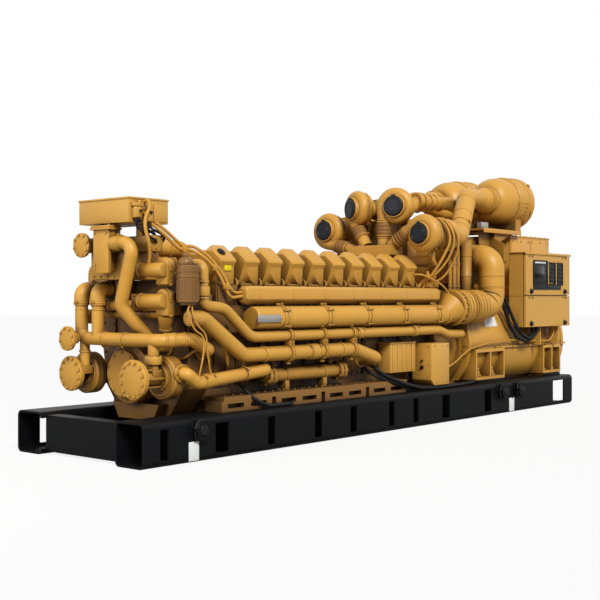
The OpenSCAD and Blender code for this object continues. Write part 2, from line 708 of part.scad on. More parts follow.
// cast foot from x with two open bays
module alternator_foot(x, l) difference() {
    union() {
        block([x, -foot_y, foot_z0], [x + l, -560, foot_z1]);
        block([x + 20, -foot_y + 20, rail_h], [x + l - 20, -inner_half - 20, foot_z0 + 1]);
    }
    for (i = [0, 1])
        block([x + foot_wall + i * (l - foot_wall) / 2, -foot_y - 1, foot_z0 + 35],
              [x + (i + 1) * (l - foot_wall) / 2, -foot_y + 180, foot_z1 - 40]);
}
module alternator_feet() color(yellow) place() both() difference() {
    union() {
        alternator_foot(1580, 700);
        alternator_foot(3320, 500);
        // ledge along the barrel
        block([barrel_x0 + 60, -765, foot_z1 - 1], [barrel_x1 - 20, -600, foot_z1 + 20]);
    }
    bar_x(barrel_x0, barrel_x1, 0, shaft_z, barrel_r + fit);
}

terminal_x0 = 2900;
terminal_x1 = 3990;
module terminal_box() color(yellow) place() difference() {
    block([terminal_x0, -530, shaft_z + 560], [terminal_x1, 530, 2320]);
    bar_x(terminal_x0 - 1, terminal_x1 + 1, 0, shaft_z, barrel_r + fit);
}

// ---------- control cabinet ----------
door_y0 = -960;
frame_y0 = door_y0 + door_t + door_gap;
cab_x0 = 2535;
cab_x1 = cab_x0 + cabinet_l;
cab_z0 = 1092;
cab_z1 = cab_z0 + cabinet_h;
cab_y1 = frame_y0 + cabinet_d;
split_z = cab_z0 + 420;
wall = 20;

hinge_r = 6;
knuckle_r = 11;
upper_axis_z = cab_z1 - 45;
lower_axis_z = split_z - 25;
axis_y = door_y0 + door_t / 2;
knuckle_l = 60;
knuckle_x = [cab_x0 + 120, cab_x1 - 180];

module control_cabinet() color(yellow) place() {
    difference() {
        block([cab_x0, frame_y0, cab_z0], [cab_x1, cab_y1, cab_z1 - 12]);
        block([cab_x0 + wall, frame_y0 - 1, split_z + 15], [cab_x1 - wall, cab_y1 - wall, cab_z1 - 60]);
        block([cab_x0 + wall, frame_y0 - 1, cab_z0 + wall], [cab_x1 - wall, cab_y1 - wall, split_z - 45]);
    }
    // roof with its drip lip
    block([cab_x0 - 15, door_y0 - 8, cab_z1 - 12], [cab_x1 + 25, cab_y1, cab_z1]);
    // hinge lugs and pins of both doors
    for (z = [upper_axis_z, lower_axis_z], x = knuckle_x) {
        bar_x(x - 25, x + knuckle_l + 25, axis_y, z, hinge_r);
        for (s = [-25, knuckle_l + 5])
            block([x + s, axis_y - 8, z - 8], [x + s + 20, frame_y0, z + 8]);
    }
    // brackets to the terminal box, and posts down to the ledge
    for (x = [2950, 3600]) block([x, cab_y1 - 1, 1700], [x + 60, -530 - fit, 1900]);
    for (x = [3060, 3560]) block([x, -890, foot_z1 + 20 + fit], [x + 20, -750, cab_z0 + 1]);
}

module door(z0, z1, axis_z) {
    difference() {
        block([cab_x0, door_y0, z0], [cab_x1, door_y0 + door_t, z1]);
        for (x = knuckle_x)
            block([x - 32, door_y0 - 1, axis_z - 25],
                  [x + knuckle_l + 32, door_y0 + door_t + 1, axis_z + 40]);
    }
    for (x = knuckle_x) difference() {
        union() {
            bar_x(x, x + knuckle_l, axis_y, axis_z, knuckle_r);
            block([x, axis_y - 8, axis_z - 26], [x + knuckle_l, axis_y + 8, axis_z]);
        }
        bar_x(x - 1, x + knuckle_l + 1, axis_y, axis_z, hinge_r + fit);
    }
}

module upper_door() color(yellow) place() difference() {
    door(split_z, upper_axis_z + 12, upper_axis_z);
    block([cab_x0 + 200, door_y0 - 1, split_z + 130], [cab_x0 + 1040, door_y0 + door_t + 1, split_z + 440]);
}
module lower_door() color(yellow) place() door(cab_z0, lower_axis_z + 12, lower_axis_z);

module controller() color(black) place()
    block([cab_x0 + 200, door_y0 - 4, split_z + 130], [cab_x0 + 1040, door_y0 + door_t + 40, split_z + 440]);

module latch_pair(z) for (x = [cab_x0 + 150, cab_x1 - 150]) bar_y(x, door_y0 - 22, door_y0, z, 22);
module upper_latches() color(black) place() latch_pair(split_z + 50);
module lower_latches() color(black) place() latch_pair(cab_z0 + 45);

last_cover_x = bank_x1 - pitch / 2 + 130;
module junction_boxes() color(yellow) place() {
    block([480, -870, 450], [860, -600, 940]);
    // mount of the first box on the block, just clear of the last inspection cover
    block([last_cover_x + 10.5, -601, 600], [last_cover_x + 210.5, -500 - fit, 900]);
    block([-100, -700, 620], [400, -cover_y - fit, 960]);
}

// from the aftercooler's side plate down to the cabinet's floor
module harness() color(black) place()
    pipe([[2270, -cooler_half - 20 - fit, 1760], [2270, -540, 1760], [2290, -700, 1560],
          [2400, -800, 1150], [2560, -830, 960], [2750, -860, 900],
          [2900, -860, 1000], [2900, -860, cab_z0 - fit]], 22, 60, 10);

base_rail_near();
base_rail_far();
base_cross_members();
lifting_posts();
engine_feet();
oil_pan();
crankcase();
front_housing();
crank_damper();
flywheel_housing();
cylinder_heads();
valve_covers_near();
valve_covers_far();
fuel_rail_covers();
air_manifold_near();
air_manifold_far();
charge_air_elbows();
aftercooler();
charge_air_plenum();
compressor_outlets();
turbo_outer_near();
turbo_inner_near();
turbo_inner_far();
turbo_outer_far();
inlet_plugs();
exhaust_ducts();
exhaust_drum_near();
exhaust_drum_far();
drum_shelf();
coolant_pipes_near();
coolant_pipes_far();
pipe_clamps();
side_coolers();
water_pumps();
pump_discharges();
front_pipes();
blind_flanges();
s_pipe();
thermostat_housing();
engine_control_box();
oil_coolers();
oil_filter();
alternator();
alternator_feet();
terminal_box();
control_cabinet();
upper_door();
upper_latches();
controller();
lower_door();
lower_latches();
junction_boxes();
harness();
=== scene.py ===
# %% [markdown]
# A diesel generator set: a V engine on a black steel frame, with its alternator, cooling pipes, turbochargers
# and control cabinet. The CAD parts give every size. This script loads them as a fixed frame, gives each
# one its finish, and builds the pieces that CAD leaves out: bolts, clamps, hoses, seams, handles.

import math
from itertools import product

import bmesh
import bpy
from mathutils import Matrix, Vector


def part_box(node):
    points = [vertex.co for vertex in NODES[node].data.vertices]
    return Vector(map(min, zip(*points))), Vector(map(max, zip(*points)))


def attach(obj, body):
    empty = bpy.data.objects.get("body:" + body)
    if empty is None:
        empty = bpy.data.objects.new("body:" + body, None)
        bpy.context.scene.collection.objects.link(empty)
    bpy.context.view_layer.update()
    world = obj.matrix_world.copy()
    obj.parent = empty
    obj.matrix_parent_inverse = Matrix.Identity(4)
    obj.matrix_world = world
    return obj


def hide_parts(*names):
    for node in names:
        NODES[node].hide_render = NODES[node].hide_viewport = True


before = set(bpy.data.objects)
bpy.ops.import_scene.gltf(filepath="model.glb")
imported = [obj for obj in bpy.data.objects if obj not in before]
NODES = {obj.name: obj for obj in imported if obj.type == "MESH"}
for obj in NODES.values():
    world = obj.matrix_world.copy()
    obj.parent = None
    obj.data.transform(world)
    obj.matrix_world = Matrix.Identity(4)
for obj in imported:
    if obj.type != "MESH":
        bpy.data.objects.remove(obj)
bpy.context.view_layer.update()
GENSET, UPPER_DOOR, LOWER_DOOR = "genset", "upper_door_body", "lower_door_body"
rail_low, rail_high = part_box("base_rail_near")
MIDDLE = (rail_low.x + rail_high.x) / 2  # where the middle of the base frame lies along X

# %% [markdown]
# The camera stands off the front near corner, at the height of a person's chest, and looks level along the
# machine. A level camera keeps every upright edge upright, so the slight lowering of the horizon is done
# with the lens shift and not by tilting.

# %% Camera
camera_data = bpy.data.cameras.new("camera")
camera_data.lens = 64.49
camera_data.sensor_width = 36
camera_data.shift_y = -0.0022
camera_data.clip_end = 200
camera = bpy.data.objects.new("camera", camera_data)
camera.location = (-10.059, -7.877, 1.464)
camera.rotation_euler = (math.radians(90), 0, math.radians(-49.272))
bpy.context.scene.collection.objects.link(camera)
bpy.context.scene.camera = camera
print("camera at", tuple(camera.location))

# %% [markdown]
# A studio shot of a big machine uses very large soft lamps. One wide sun from beside the camera stands for
# the key lamp, a square area lamp lifts the front end, and the world gives an even sky. The world is white
# where the camera or a reflection sees it, and grey as a lamp.

# %% Studio light and floor
def linear(hex_colour):
    """An sRGB hex value as the linear colour that a shader socket takes."""
    parts = [int(hex_colour[i:i + 2], 16) / 255 for i in (1, 3, 5)]
    return [c / 12.92 if c <= 0.04045 else ((c + 0.055) / 1.055) ** 2.4 for c in parts] + [1.0]


def add(tree, kind, settings=None, links=None):
    """One shader node of that kind, with its properties and input values set and its inputs linked."""
    made = tree.nodes.new("ShaderNode" + kind)
    for key, value in (settings or {}).items():
        if isinstance(key, int) or key in made.inputs:
            made.inputs[key].default_value = value
        else:
            setattr(made, key, value)
    for key, source in (links or {}).items():
        tree.links.new(source, made.inputs[key])
    return made


def sun(name, azimuth, height, strength, width):
    """A lamp far away at that azimuth and height in degrees, as soft as a lamp that wide in degrees."""
    data = bpy.data.lights.new(name, "SUN")
    data.energy = strength
    data.angle = math.radians(width)
    lamp = bpy.data.objects.new(name, data)
    lamp.rotation_euler = (math.radians(90 - height), 0, math.radians(azimuth + 90))
    bpy.context.scene.collection.objects.link(lamp)


sun("key_lamp", -118, 38, 2.66, 16)
front_data = bpy.data.lights.new("front_lamp", "AREA")
front_data.energy = 120
front_data.size = 3
front_lamp = bpy.data.objects.new("front_lamp", front_data)
front_lamp.location = (-9.2, 0.6, 3.4)
front_lamp.rotation_euler = Vector((-5.5, 0.6, 2.1)).to_track_quat("Z", "Y").to_euler()
bpy.context.scene.collection.objects.link(front_lamp)

world = bpy.data.worlds.new("studio")
bpy.context.scene.world = world
world.use_nodes = True
sky = world.node_tree
sky.nodes.clear()
path = add(sky, "LightPath")
seen = path.outputs["Is Camera Ray"]
for ray in ("Is Glossy Ray", "Is Transmission Ray"):
    seen = add(sky, "Math", {"operation": "MAXIMUM"}, {0: seen, 1: path.outputs[ray]}).outputs[0]
lamp_part = add(sky, "Background", {"Color": (1, 1, 1, 1), "Strength": 0.23})
seen_part = add(sky, "Background", {"Color": (1, 1, 1, 1), "Strength": 1.0})
both_parts = add(sky, "MixShader", None, {0: seen, 1: lamp_part.outputs[0], 2: seen_part.outputs[0]})
add(sky, "OutputWorld", None, {"Surface": both_parts.outputs[0]})


def new_material(name):
    """An empty material and its node tree."""
    material = bpy.data.materials.new(name)
    material.use_nodes = True
    material.node_tree.nodes.clear()
    return material, material.node_tree


def studio_floor():
    """White floor: to the camera most of its brightness is its own, so that only soft shadow shows."""
    material, tree = new_material("studio_floor")
    rays = add(tree, "LightPath")
    share = add(tree, "Math", {"operation": "MULTIPLY", 1: 0.85}, {0: rays.outputs["Is Camera Ray"]})
    bounce = add(tree, "Mix", {"data_type": "RGBA", 6: linear("#a2a2a2"), 7: linear("#f4f4f4")},
                 {0: rays.outputs["Is Camera Ray"]})
    matt = add(tree, "BsdfDiffuse", None, {"Color": bounce.outputs[2]})
    glow = add(tree, "Emission", {"Color": (1, 1, 1, 1), "Strength": 1.0})
    mixed = add(tree, "MixShader", None, {0: share.outputs[0], 1: matt.outputs[0], 2: glow.outputs[0]})
    add(tree, "OutputMaterial", None, {"Surface": mixed.outputs[0]})
    return material


FLOOR_R = 80
floor_mesh = bmesh.new()
bmesh.ops.create_circle(floor_mesh, cap_ends=True, segments=64, radius=FLOOR_R)
floor_data = bpy.data.meshes.new("floor")
floor_mesh.to_mesh(floor_data)
floor_mesh.free()
floor_data.materials.append(studio_floor())
floor = bpy.data.objects.new("floor", floor_data)
bpy.context.scene.collection.objects.link(floor)

view = bpy.context.scene.view_settings
view.view_transform = "Standard"
print("floor radius", FLOOR_R, "m, lamps 2")

# %% [markdown]
# The machine wears one ochre yellow enamel, sprayed over castings, pipes and sheet metal alike after it was
# assembled. Sprayed enamel is a little uneven: it goes on thicker in some places, casting skin shows
# through as a faint grain, and dust settles in fine spots. So its colour drifts slowly, dust darkens it in
# spots, a fine bump stands for the skin, and ambient occlusion darkens the corners where parts meet with
# painted shade. The real skin has grains of about 1 mm, too fine to show here, so they are drawn 6 mm wide.
# The low castings and the oil filter wear a browner, darker tone of the same enamel, which is painted shade,
# and the frame a satin black one, which shows only where it shines.

# %% Machine enamel
def grain(tree, size, detail=2.0, rough=0.5):
    """The output of a noise whose features are about that many metres across on the object."""
    place = add(tree, "TexCoord")
    return add(tree, "TexNoise", {"Scale": 1 / size, "Detail": detail, "Roughness": rough},
               {"Vector": place.outputs["Object"]}).outputs["Fac"]


def blend(tree, first, second, factor):
    """The output of two colours mixed by a factor; the first may be a colour or another node's output."""
    settings, links = {"data_type": "RGBA", 7: second}, {0: factor}
    (settings if isinstance(first, list) else links)[6] = first
    return add(tree, "Mix", settings, links).outputs[2]


def spread(tree, value, low, high, start=0.0, end=1.0):
    """A value that runs from start to end as a value that runs from low to high."""
    limits = {"From Min": start, "From Max": end, "To Min": low, "To Max": high}
    return add(tree, "MapRange", limits, {"Value": value}).outputs[0]


def enamel(name, colour, deep, corner, gloss=0.43, skin=0.0006, reach=0.22, painted_shade_share=0.95, shine=0.5):
    """Sprayed enamel: drifting colour, dust, painted shade in corners, and casting skin of that height in
    metres.
    """
    material, tree = new_material(name)
    drift = grain(tree, 0.7, 3)
    # ambient occlusion paints shade: corners move towards the corner colour, a painted shade tone
    shade_occlusion = add(tree, "AmbientOcclusion", {"samples": 6, "only_local": False, "Distance": reach})
    closed = spread(tree, shade_occlusion.outputs["AO"], painted_shade_share, 0.0, 0.2, 0.95)
    dust = spread(tree, grain(tree, 0.03, 4, 0.6), 0.0, 0.10, 0.45, 0.75)
    # random dust spots and the painted corner shade together set how far the colour moves to the corner
    # colour
    dust_and_painted_shade = add(tree, "Math", {"operation": "ADD", "use_clamp": True}, {0: closed, 1: dust}).outputs[0]
    shaded = blend(tree, blend(tree, linear(colour), linear(deep), drift), linear(corner), dust_and_painted_shade)
    bump = add(tree, "Bump", {"Strength": 0.25, "Distance": skin}, {"Height": grain(tree, 0.006, 2)})
    sheen = spread(tree, drift, gloss - 0.06, gloss + 0.10)
    coat = add(tree, "BsdfPrincipled", {"IOR": 1.5, "Specular IOR Level": shine},
               {"Base Color": shaded, "Roughness": sheen, "Normal": bump.outputs[0]})
    add(tree, "OutputMaterial", None, {"Surface": coat.outputs[0]})
    return material


# the fourth colour of each enamel is the painted shade of its corners
MACHINE = enamel("machine_enamel", "#e3aa45", "#d69c3a", "#4e2f0e")
CASTING = enamel("casting_enamel", "#d0983a", "#b8822f", "#35200a", 0.5, 0.0015, 0.3)
SHEET = enamel("sheet_enamel", "#e3ab4d", "#d9a346", "#5e3a14", 0.4, 0.0003, 0.1, 0.7)
FRAME_BLACK = enamel("frame_black_enamel", "#0a0a0c", "#101113", "#050506", 0.46, 0.0005, 0.16, 0.7, 0.14)
# the sump enamel is darker and browner: painted shade for the castings that sit low and in shade
SUMP_PAINTED_SHADE = enamel("sump_enamel_painted_shade", "#a87733", "#8c6128", "#2e1c0c", 0.5, 0.0012, 0.36, 0.95)
# the filter enamel is darker and browner still: painted shade for the filter under the front castings
FILTER_PAINTED_SHADE = enamel("filter_enamel_painted_shade", "#94662c", "#7c5424", "#2a1a0b", 0.42, 0.0006)
print("enamels made")


# %% [markdown]
# The plugs in the turbocharger inlets, the latches and the controller are moulded plastic: dark, with a
# fine even texture from the mould that spreads the shine. That texture is finer than 1 mm, too fine to show
# here, so it is drawn 3 mm wide. Hoses are extruded rubber, dull and nearly black, and the joints at the
# turbochargers are wrapped silicone, dull and brown. Thin lines were sprayed with the machine, so they are
# yellow too. Plates are rolled aluminium with a soft gleam, tags are plain sheet, and screens are dark
# glass, smooth enough to mirror the room.

# %% Plastics, rubber and small metal
def plain(name, colour, rough, metallic=0.0, grit=0.003, height=0.0002, uneven=0.08, shine=0.3):
    """A moulded or rolled finish: one colour, with grit of that size in metres and uneven roughness."""
    material, tree = new_material(name)
    cloud = grain(tree, 0.08, 3)
    lighter = [min(1, c * 1.25 + 0.002) for c in linear(colour)[:3]] + [1]
    bump = add(tree, "Bump", {"Strength": 0.3, "Distance": height}, {"Height": grain(tree, grit, 2)})
    body = add(tree, "BsdfPrincipled", {"Metallic": metallic, "Specular IOR Level": shine},
               {"Base Color": blend(tree, linear(colour), lighter, cloud),
                "Roughness": spread(tree, cloud, rough - uneven, rough + uneven), "Normal": bump.outputs[0]})
    add(tree, "OutputMaterial", None, {"Surface": body.outputs[0]})
    return material


PLUG = plain("moulded_plug", "#12151c", 0.38)
CONTROLLER = plain("controller_plastic", "#131416", 0.5)
SCREEN = plain("screen_glass", "#0a0d10", 0.14, 0, 0.02, 0.00002, 0.03)
LATCH = plain("latch_plastic", "#0e0f10", 0.42)
RUBBER = plain("black_rubber", "#0d0d0e", 0.6)
HOSE_JOINT = plain("silicone_joint", "#8a6030", 0.55)
TAN_HOSE = plain("painted_hose", "#c8933c", 0.5)
PLATE = plain("aluminium_plate", "#a9a7a0", 0.4, 0.6)
YELLOW_PLATE = plain("bright_yellow_plate", "#e8d21c", 0.45)
WHITE_TAG = plain("white_tag", "#e6e8e4", 0.5)
print("plain finishes made")

# %% Finish of every CAD node
FINISH = {name: MACHINE for name in NODES}
# the castings listed with the sump enamel wear it darker and browner, which is painted shade
for names, material in (
        ("flywheel_housing aftercooler oil_filter thermostat_housing drum_shelf", CASTING),
        ("engine_feet oil_pan crankcase front_housing side_coolers cylinder_heads", SUMP_PAINTED_SHADE),
        ("base_rail_near base_rail_far base_cross_members lifting_posts", FRAME_BLACK),
        ("control_cabinet upper_door lower_door terminal_box engine_control_box junction_boxes", SHEET)):
    FINISH.update(dict.fromkeys(names.split(), material))
FINISH.update(inlet_plugs=PLUG, controller=CONTROLLER, upper_latches=LATCH, lower_latches=LATCH,
              harness=RUBBER)
for name, thing in NODES.items():
    thing.data.materials.clear()
    thing.data.materials.append(FINISH[name])
print("finished nodes", len(FINISH))

# %% [markdown]
# Every new piece is a mesh built by bmesh operators, with its place in its vertices. A few small helpers do
# the work of a fabrication shop: a block with eased edges, a round bar, a turned profile, a pipe swept
# along a route with rounded bends, and hexagon bolts. Many small shapes share one mesh, because bolts of
# one group are never moved apart. The two sides of the set are alike, so many helpers take a side: -1 is
# the near one and 1 the far one.

# %% Helpers: one piece out of a bmesh
def at(x, y, z):
    """A point given from the middle of the base frame, on the floor."""
    return Vector((x + MIDDLE, y, z))


def places(side, *points):
    """Points given for the far side, mirrored to the near side where side is -1."""
    return [at(x, side * y, z) for x, y, z in points]


def spoke(degrees, side=1):
    """The direction at that angle in a plane across the machine: 0 points to the side and 90 up."""
    angle = math.radians(degrees)
    return Vector((0, side * math.cos(angle), math.sin(angle)))


def piece(name, bm, material, body=GENSET, smooth=35, stands_for=()):
    """Turns the bmesh into a piece that rides on a body, smooth where faces meet at less than that angle."""
    bmesh.ops.recalc_face_normals(bm, faces=bm.faces)
    mesh = bpy.data.meshes.new(name)
    bm.to_mesh(mesh)
    bm.free()
    mesh.materials.append(material)
    mesh.polygons.foreach_set("use_smooth", [True] * len(mesh.polygons))
    mesh.set_sharp_from_angle(angle=math.radians(smooth))
    thing = bpy.data.objects.new(name, mesh)
    bpy.context.scene.collection.objects.link(thing)
    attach(thing, body)
    if stands_for:
        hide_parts(*stands_for)
    print(name, len(mesh.polygons), "faces")
    return thing


def aim(direction):
    """The turn that points +Z along that direction."""
    return Vector((0, 0, 1)).rotation_difference(Vector(direction).normalized()).to_matrix().to_4x4()


def apart(build):
    """Builds a shape in a bmesh of its own and adds it at the end, as operators are slow in a big bmesh."""
    def built(bm, *given, **sizes):
        own = bmesh.new()
        build(own, *given, **sizes)
        mesh = bpy.data.meshes.new("part")
        own.to_mesh(mesh)
        own.free()
        bm.from_mesh(mesh)
        bpy.data.meshes.remove(mesh)
    return built


def ease(bm, verts, offset, segments=2, sharper=30):
    """Rounds the edges between those vertices where faces meet at more than that angle."""
    inside = set(verts)
    edges = {e for v in verts for e in v.link_edges if all(w in inside for w in e.verts)}
    edges = [e for e in edges if e.calc_face_angle(0) > math.radians(sharper)]
    bmesh.ops.bevel(bm, geom=edges, offset=offset, offset_type="OFFSET", affect="EDGES",
                    segments=segments, profile=0.5, material=-1, clamp_overlap=True)


@apart
def block(bm, low, high, edge=0.004, turn=None, segments=2):
    """A block between two corners with eased edges, turned about its middle if asked."""
    low, high = Vector(low), Vector(high)
    size = high - low
    place = Matrix.Translation((low + high) / 2) @ (turn or Matrix.Identity(4)) @ Matrix.Diagonal((*size, 1))
    made = bmesh.ops.create_cube(bm, size=1, matrix=place)["verts"]
    if edge:
        ease(bm, made, edge, segments)


def side_block(bm, side, low, high, edge=0.004):
    """A block whose corners are given for the far side, mirrored to the near side where side is -1."""
    y0, y1 = sorted((side * low[1], side * high[1]))
    block(bm, at(low[0], y0, low[2]), at(high[0], y1, high[2]), edge)


def blocks(bm, *rows):
    """Blocks given as rows of low corner, high corner and eased edge."""
    for low, high, edge in rows:
        block(bm, at(*low), at(*high), edge)


@apart
def bar(bm, start, end, radius, end_radius=None, sides=24, edge=0.0):
    """A round bar or cone from start to end."""
    start, end = Vector(start), Vector(end)
    place = Matrix.Translation((start + end) / 2) @ aim(end - start)
    made = bmesh.ops.create_cone(bm, cap_ends=True, segments=sides, radius1=radius,
                                 radius2=radius if end_radius is None else end_radius,
                                 depth=(end - start).length, matrix=place)["verts"]
    if edge:
        ease(bm, made, edge, 2, 50)


@apart
def turned(bm, outline, origin, axis, steps=48):
    """A solid turned on a lathe: outline holds (distance along the axis, radius) from end to end."""
    verts = [bm.verts.new((radius, 0, along)) for along, radius in outline]
    edges = [bm.edges.new(pair) for pair in zip(verts, verts[1:])]
    bmesh.ops.spin(bm, geom=verts + edges, cent=(0, 0, 0), axis=(0, 0, 1), angle=math.tau,
                   steps=steps, use_merge=True, use_duplicate=False)
    bmesh.ops.remove_doubles(bm, verts=bm.verts, dist=0.00002)
    bmesh.ops.transform(bm, matrix=Matrix.Translation(origin) @ aim(axis), verts=bm.verts)


def collar(start, end, radius, rise=0.005, run=0.004):
    """Four outline points for turned(): a raised band with sloped flanks."""
    return [(start, radius - rise), (start + run, radius), (end - run, radius), (end, radius - rise)]


def ring(bm, centre, axis, inner, outer, width, edge=0.002, steps=40):
    """A flat ring or clamp band round a pipe, its section a rectangle with eased outer edges."""
    h, e = width / 2, min(edge, width / 3)
    outline = [(-h, inner), (-h, outer - e), (-h + e, outer), (h - e, outer), (h, outer - e), (h, inner)]
    turned(bm, outline, Vector(centre), axis, steps)


# %% Helpers: pipes and bolts
def stations(route, bend):
    """Points and directions along a route whose corners are rounded to that radius."""
    points = [Vector(p) for p in route]
    found = [(points[0], (points[1] - points[0]).normalized())]
    for before, corner, after in zip(points, points[1:], points[2:]):
        into, out = (corner - before).normalized(), (after - corner).normalized()
        turn = into.angle(out)
        if turn < 0.02:
            continue
        reach = min(bend * math.tan(turn / 2), 0.48 * (corner - before).length,
                    0.48 * (after - corner).length)
        radius = reach / math.tan(turn / 2)
        axis = into.cross(out).normalized()
        start = corner - into * reach
        centre = start + axis.cross(into) * radius
        steps = max(2, round(math.degrees(turn) / 7))
        for k in range(steps + 1):
            spin = Matrix.Rotation(turn * k / steps, 3, axis)
            found.append((centre + spin @ (start - centre), spin @ into))
    found.append((points[-1], (points[-1] - points[-2]).normalized()))
    return found


@apart
def sweep(bm, path, radii, sides=24):
    """A circle extruded through stations of point, direction and radius, closed at both ends."""
    first, direction = path[0]
    loop = bmesh.ops.create_circle(bm, cap_ends=True, segments=sides, radius=radii[0],
                                   matrix=Matrix.Translation(first) @ aim(direction))["verts"]
    edges = [e for e in {e for v in loop for e in v.link_edges} if all(v in loop for v in e.verts)]
    for k in range(1, len(path)):
        (here, old), (there, new) = path[k - 1], path[k]
        grown = bmesh.ops.extrude_edge_only(bm, edges=edges)["geom"]
        verts = [g for g in grown if isinstance(g, bmesh.types.BMVert)]
        edges = [g for g in grown if isinstance(g, bmesh.types.BMEdge)]
        turn = old.rotation_difference(new).to_matrix().to_4x4()
        grow = Matrix.Scale(radii[k] / radii[k - 1], 4)
        step = Matrix.Translation(there) @ turn @ grow @ Matrix.Translation(-here)
        bmesh.ops.transform(bm, matrix=step, verts=verts)
    bmesh.ops.edgeloop_fill(bm, edges=edges)


def tube(bm, route, radius, bend=0.1, sides=24, end_radius=None):
    """A pipe swept along the route, its radius changing evenly if end_radius is given."""
    path = stations(route, bend)
    lengths = [0.0]
    for (a, _), (b, _) in zip(path, path[1:]):
        lengths.append(lengths[-1] + (b - a).length)
    final = radius if end_radius is None else end_radius
    sweep(bm, path, [radius + (final - radius) * run / lengths[-1] for run in lengths], sides)


def hose(bm, route, radius, sides=10):
    """A hose or wire: a soft curve through the points of the route, made as a pipe with very wide bends."""
    tube(bm, route, radius, 0.5, sides)


def bolt(bm, foot, direction, size=0.018, washer=True):
    """A hexagon head with its washer, standing on a face at foot. Size is the radius over its corners."""
    direction = Vector(direction).normalized()
    foot = Vector(foot)
    rise = size * 0.35 if washer else 0.0
    if washer:
        bar(bm, foot - direction * 0.002, foot + direction * rise, size * 1.35, sides=14)
    top = foot + direction * (rise + size * 0.85)
    bar(bm, foot - direction * 0.001, top, size, sides=6)
    bar(bm, top, top + direction * size * 0.14, size * 0.86, size * 0.6, sides=6)


def bolt_circle(bm, centre, axis, radius, count, size=0.018, first=0.0, washer=True):
    """Bolts evenly round a circle on a flange face."""
    turn = aim(axis)
    for k in range(count):
        a = math.radians(first) + math.tau * k / count
        out = turn @ Vector((math.cos(a), math.sin(a), 0))
        bolt(bm, Vector(centre) + out * radius, axis, size, washer)


def bolt_grid(bm, direction, size, xs, ys, zs, washer=True):
    """Bolts at every combination of those places along X, Y and Z."""
    for x, y, z in product(xs, ys, zs):
        bolt(bm, at(x, y, z), direction, size, washer)


def clamp(bm, centre, axis, radius, width=0.03, lug=0.02, lug_towards=(0, -1, 0.3)):
    """A band clamp round a pipe: the band, and the two lugs that its screw draws together."""
    ring(bm, centre, axis, radius - 0.001, radius + 0.006, width)
    axis = Vector(axis).normalized()
    out = Vector(lug_towards)
    out = (out - axis * out.dot(axis)).normalized()
    side = axis.cross(out)
    middle = Vector(centre) + out * (radius + lug * 0.6)
    bar(bm, middle - side * lug, middle + side * lug, lug * 0.42, sides=10)
    for s in (-0.55, 0.45):
        bar(bm, middle + side * lug * s, middle + side * lug * (s + 0.12), lug * 0.75, sides=12)


LEFT, RIGHT, NEAR, UP = Vector((-1, 0, 0)), Vector((1, 0, 0)), Vector((0, -1, 0)), Vector((0, 0, 1))
print("helpers ready")

# %% [markdown]
# The coolant pipes are steel tube, bent and then joined with sleeves and band clamps. A pipe is a circle
# extruded from station to station along its route, so every bend is smooth. The two sides of the engine
# carry the same pipes, so one function makes both.

# %% Coolant pipes along both sides
UPPER_R, LOWER_R, PIPE_Y = 0.053, 0.072, 0.79
UPPER_Z, LOWER_Z = 1.095, 0.925
COUPLING_X = -3.135
RETURN_X, RETURN_Z = -0.43, 0.795  # where the lower pipe enters the block
BLOCK_Y = 0.5203  # the wall of the block


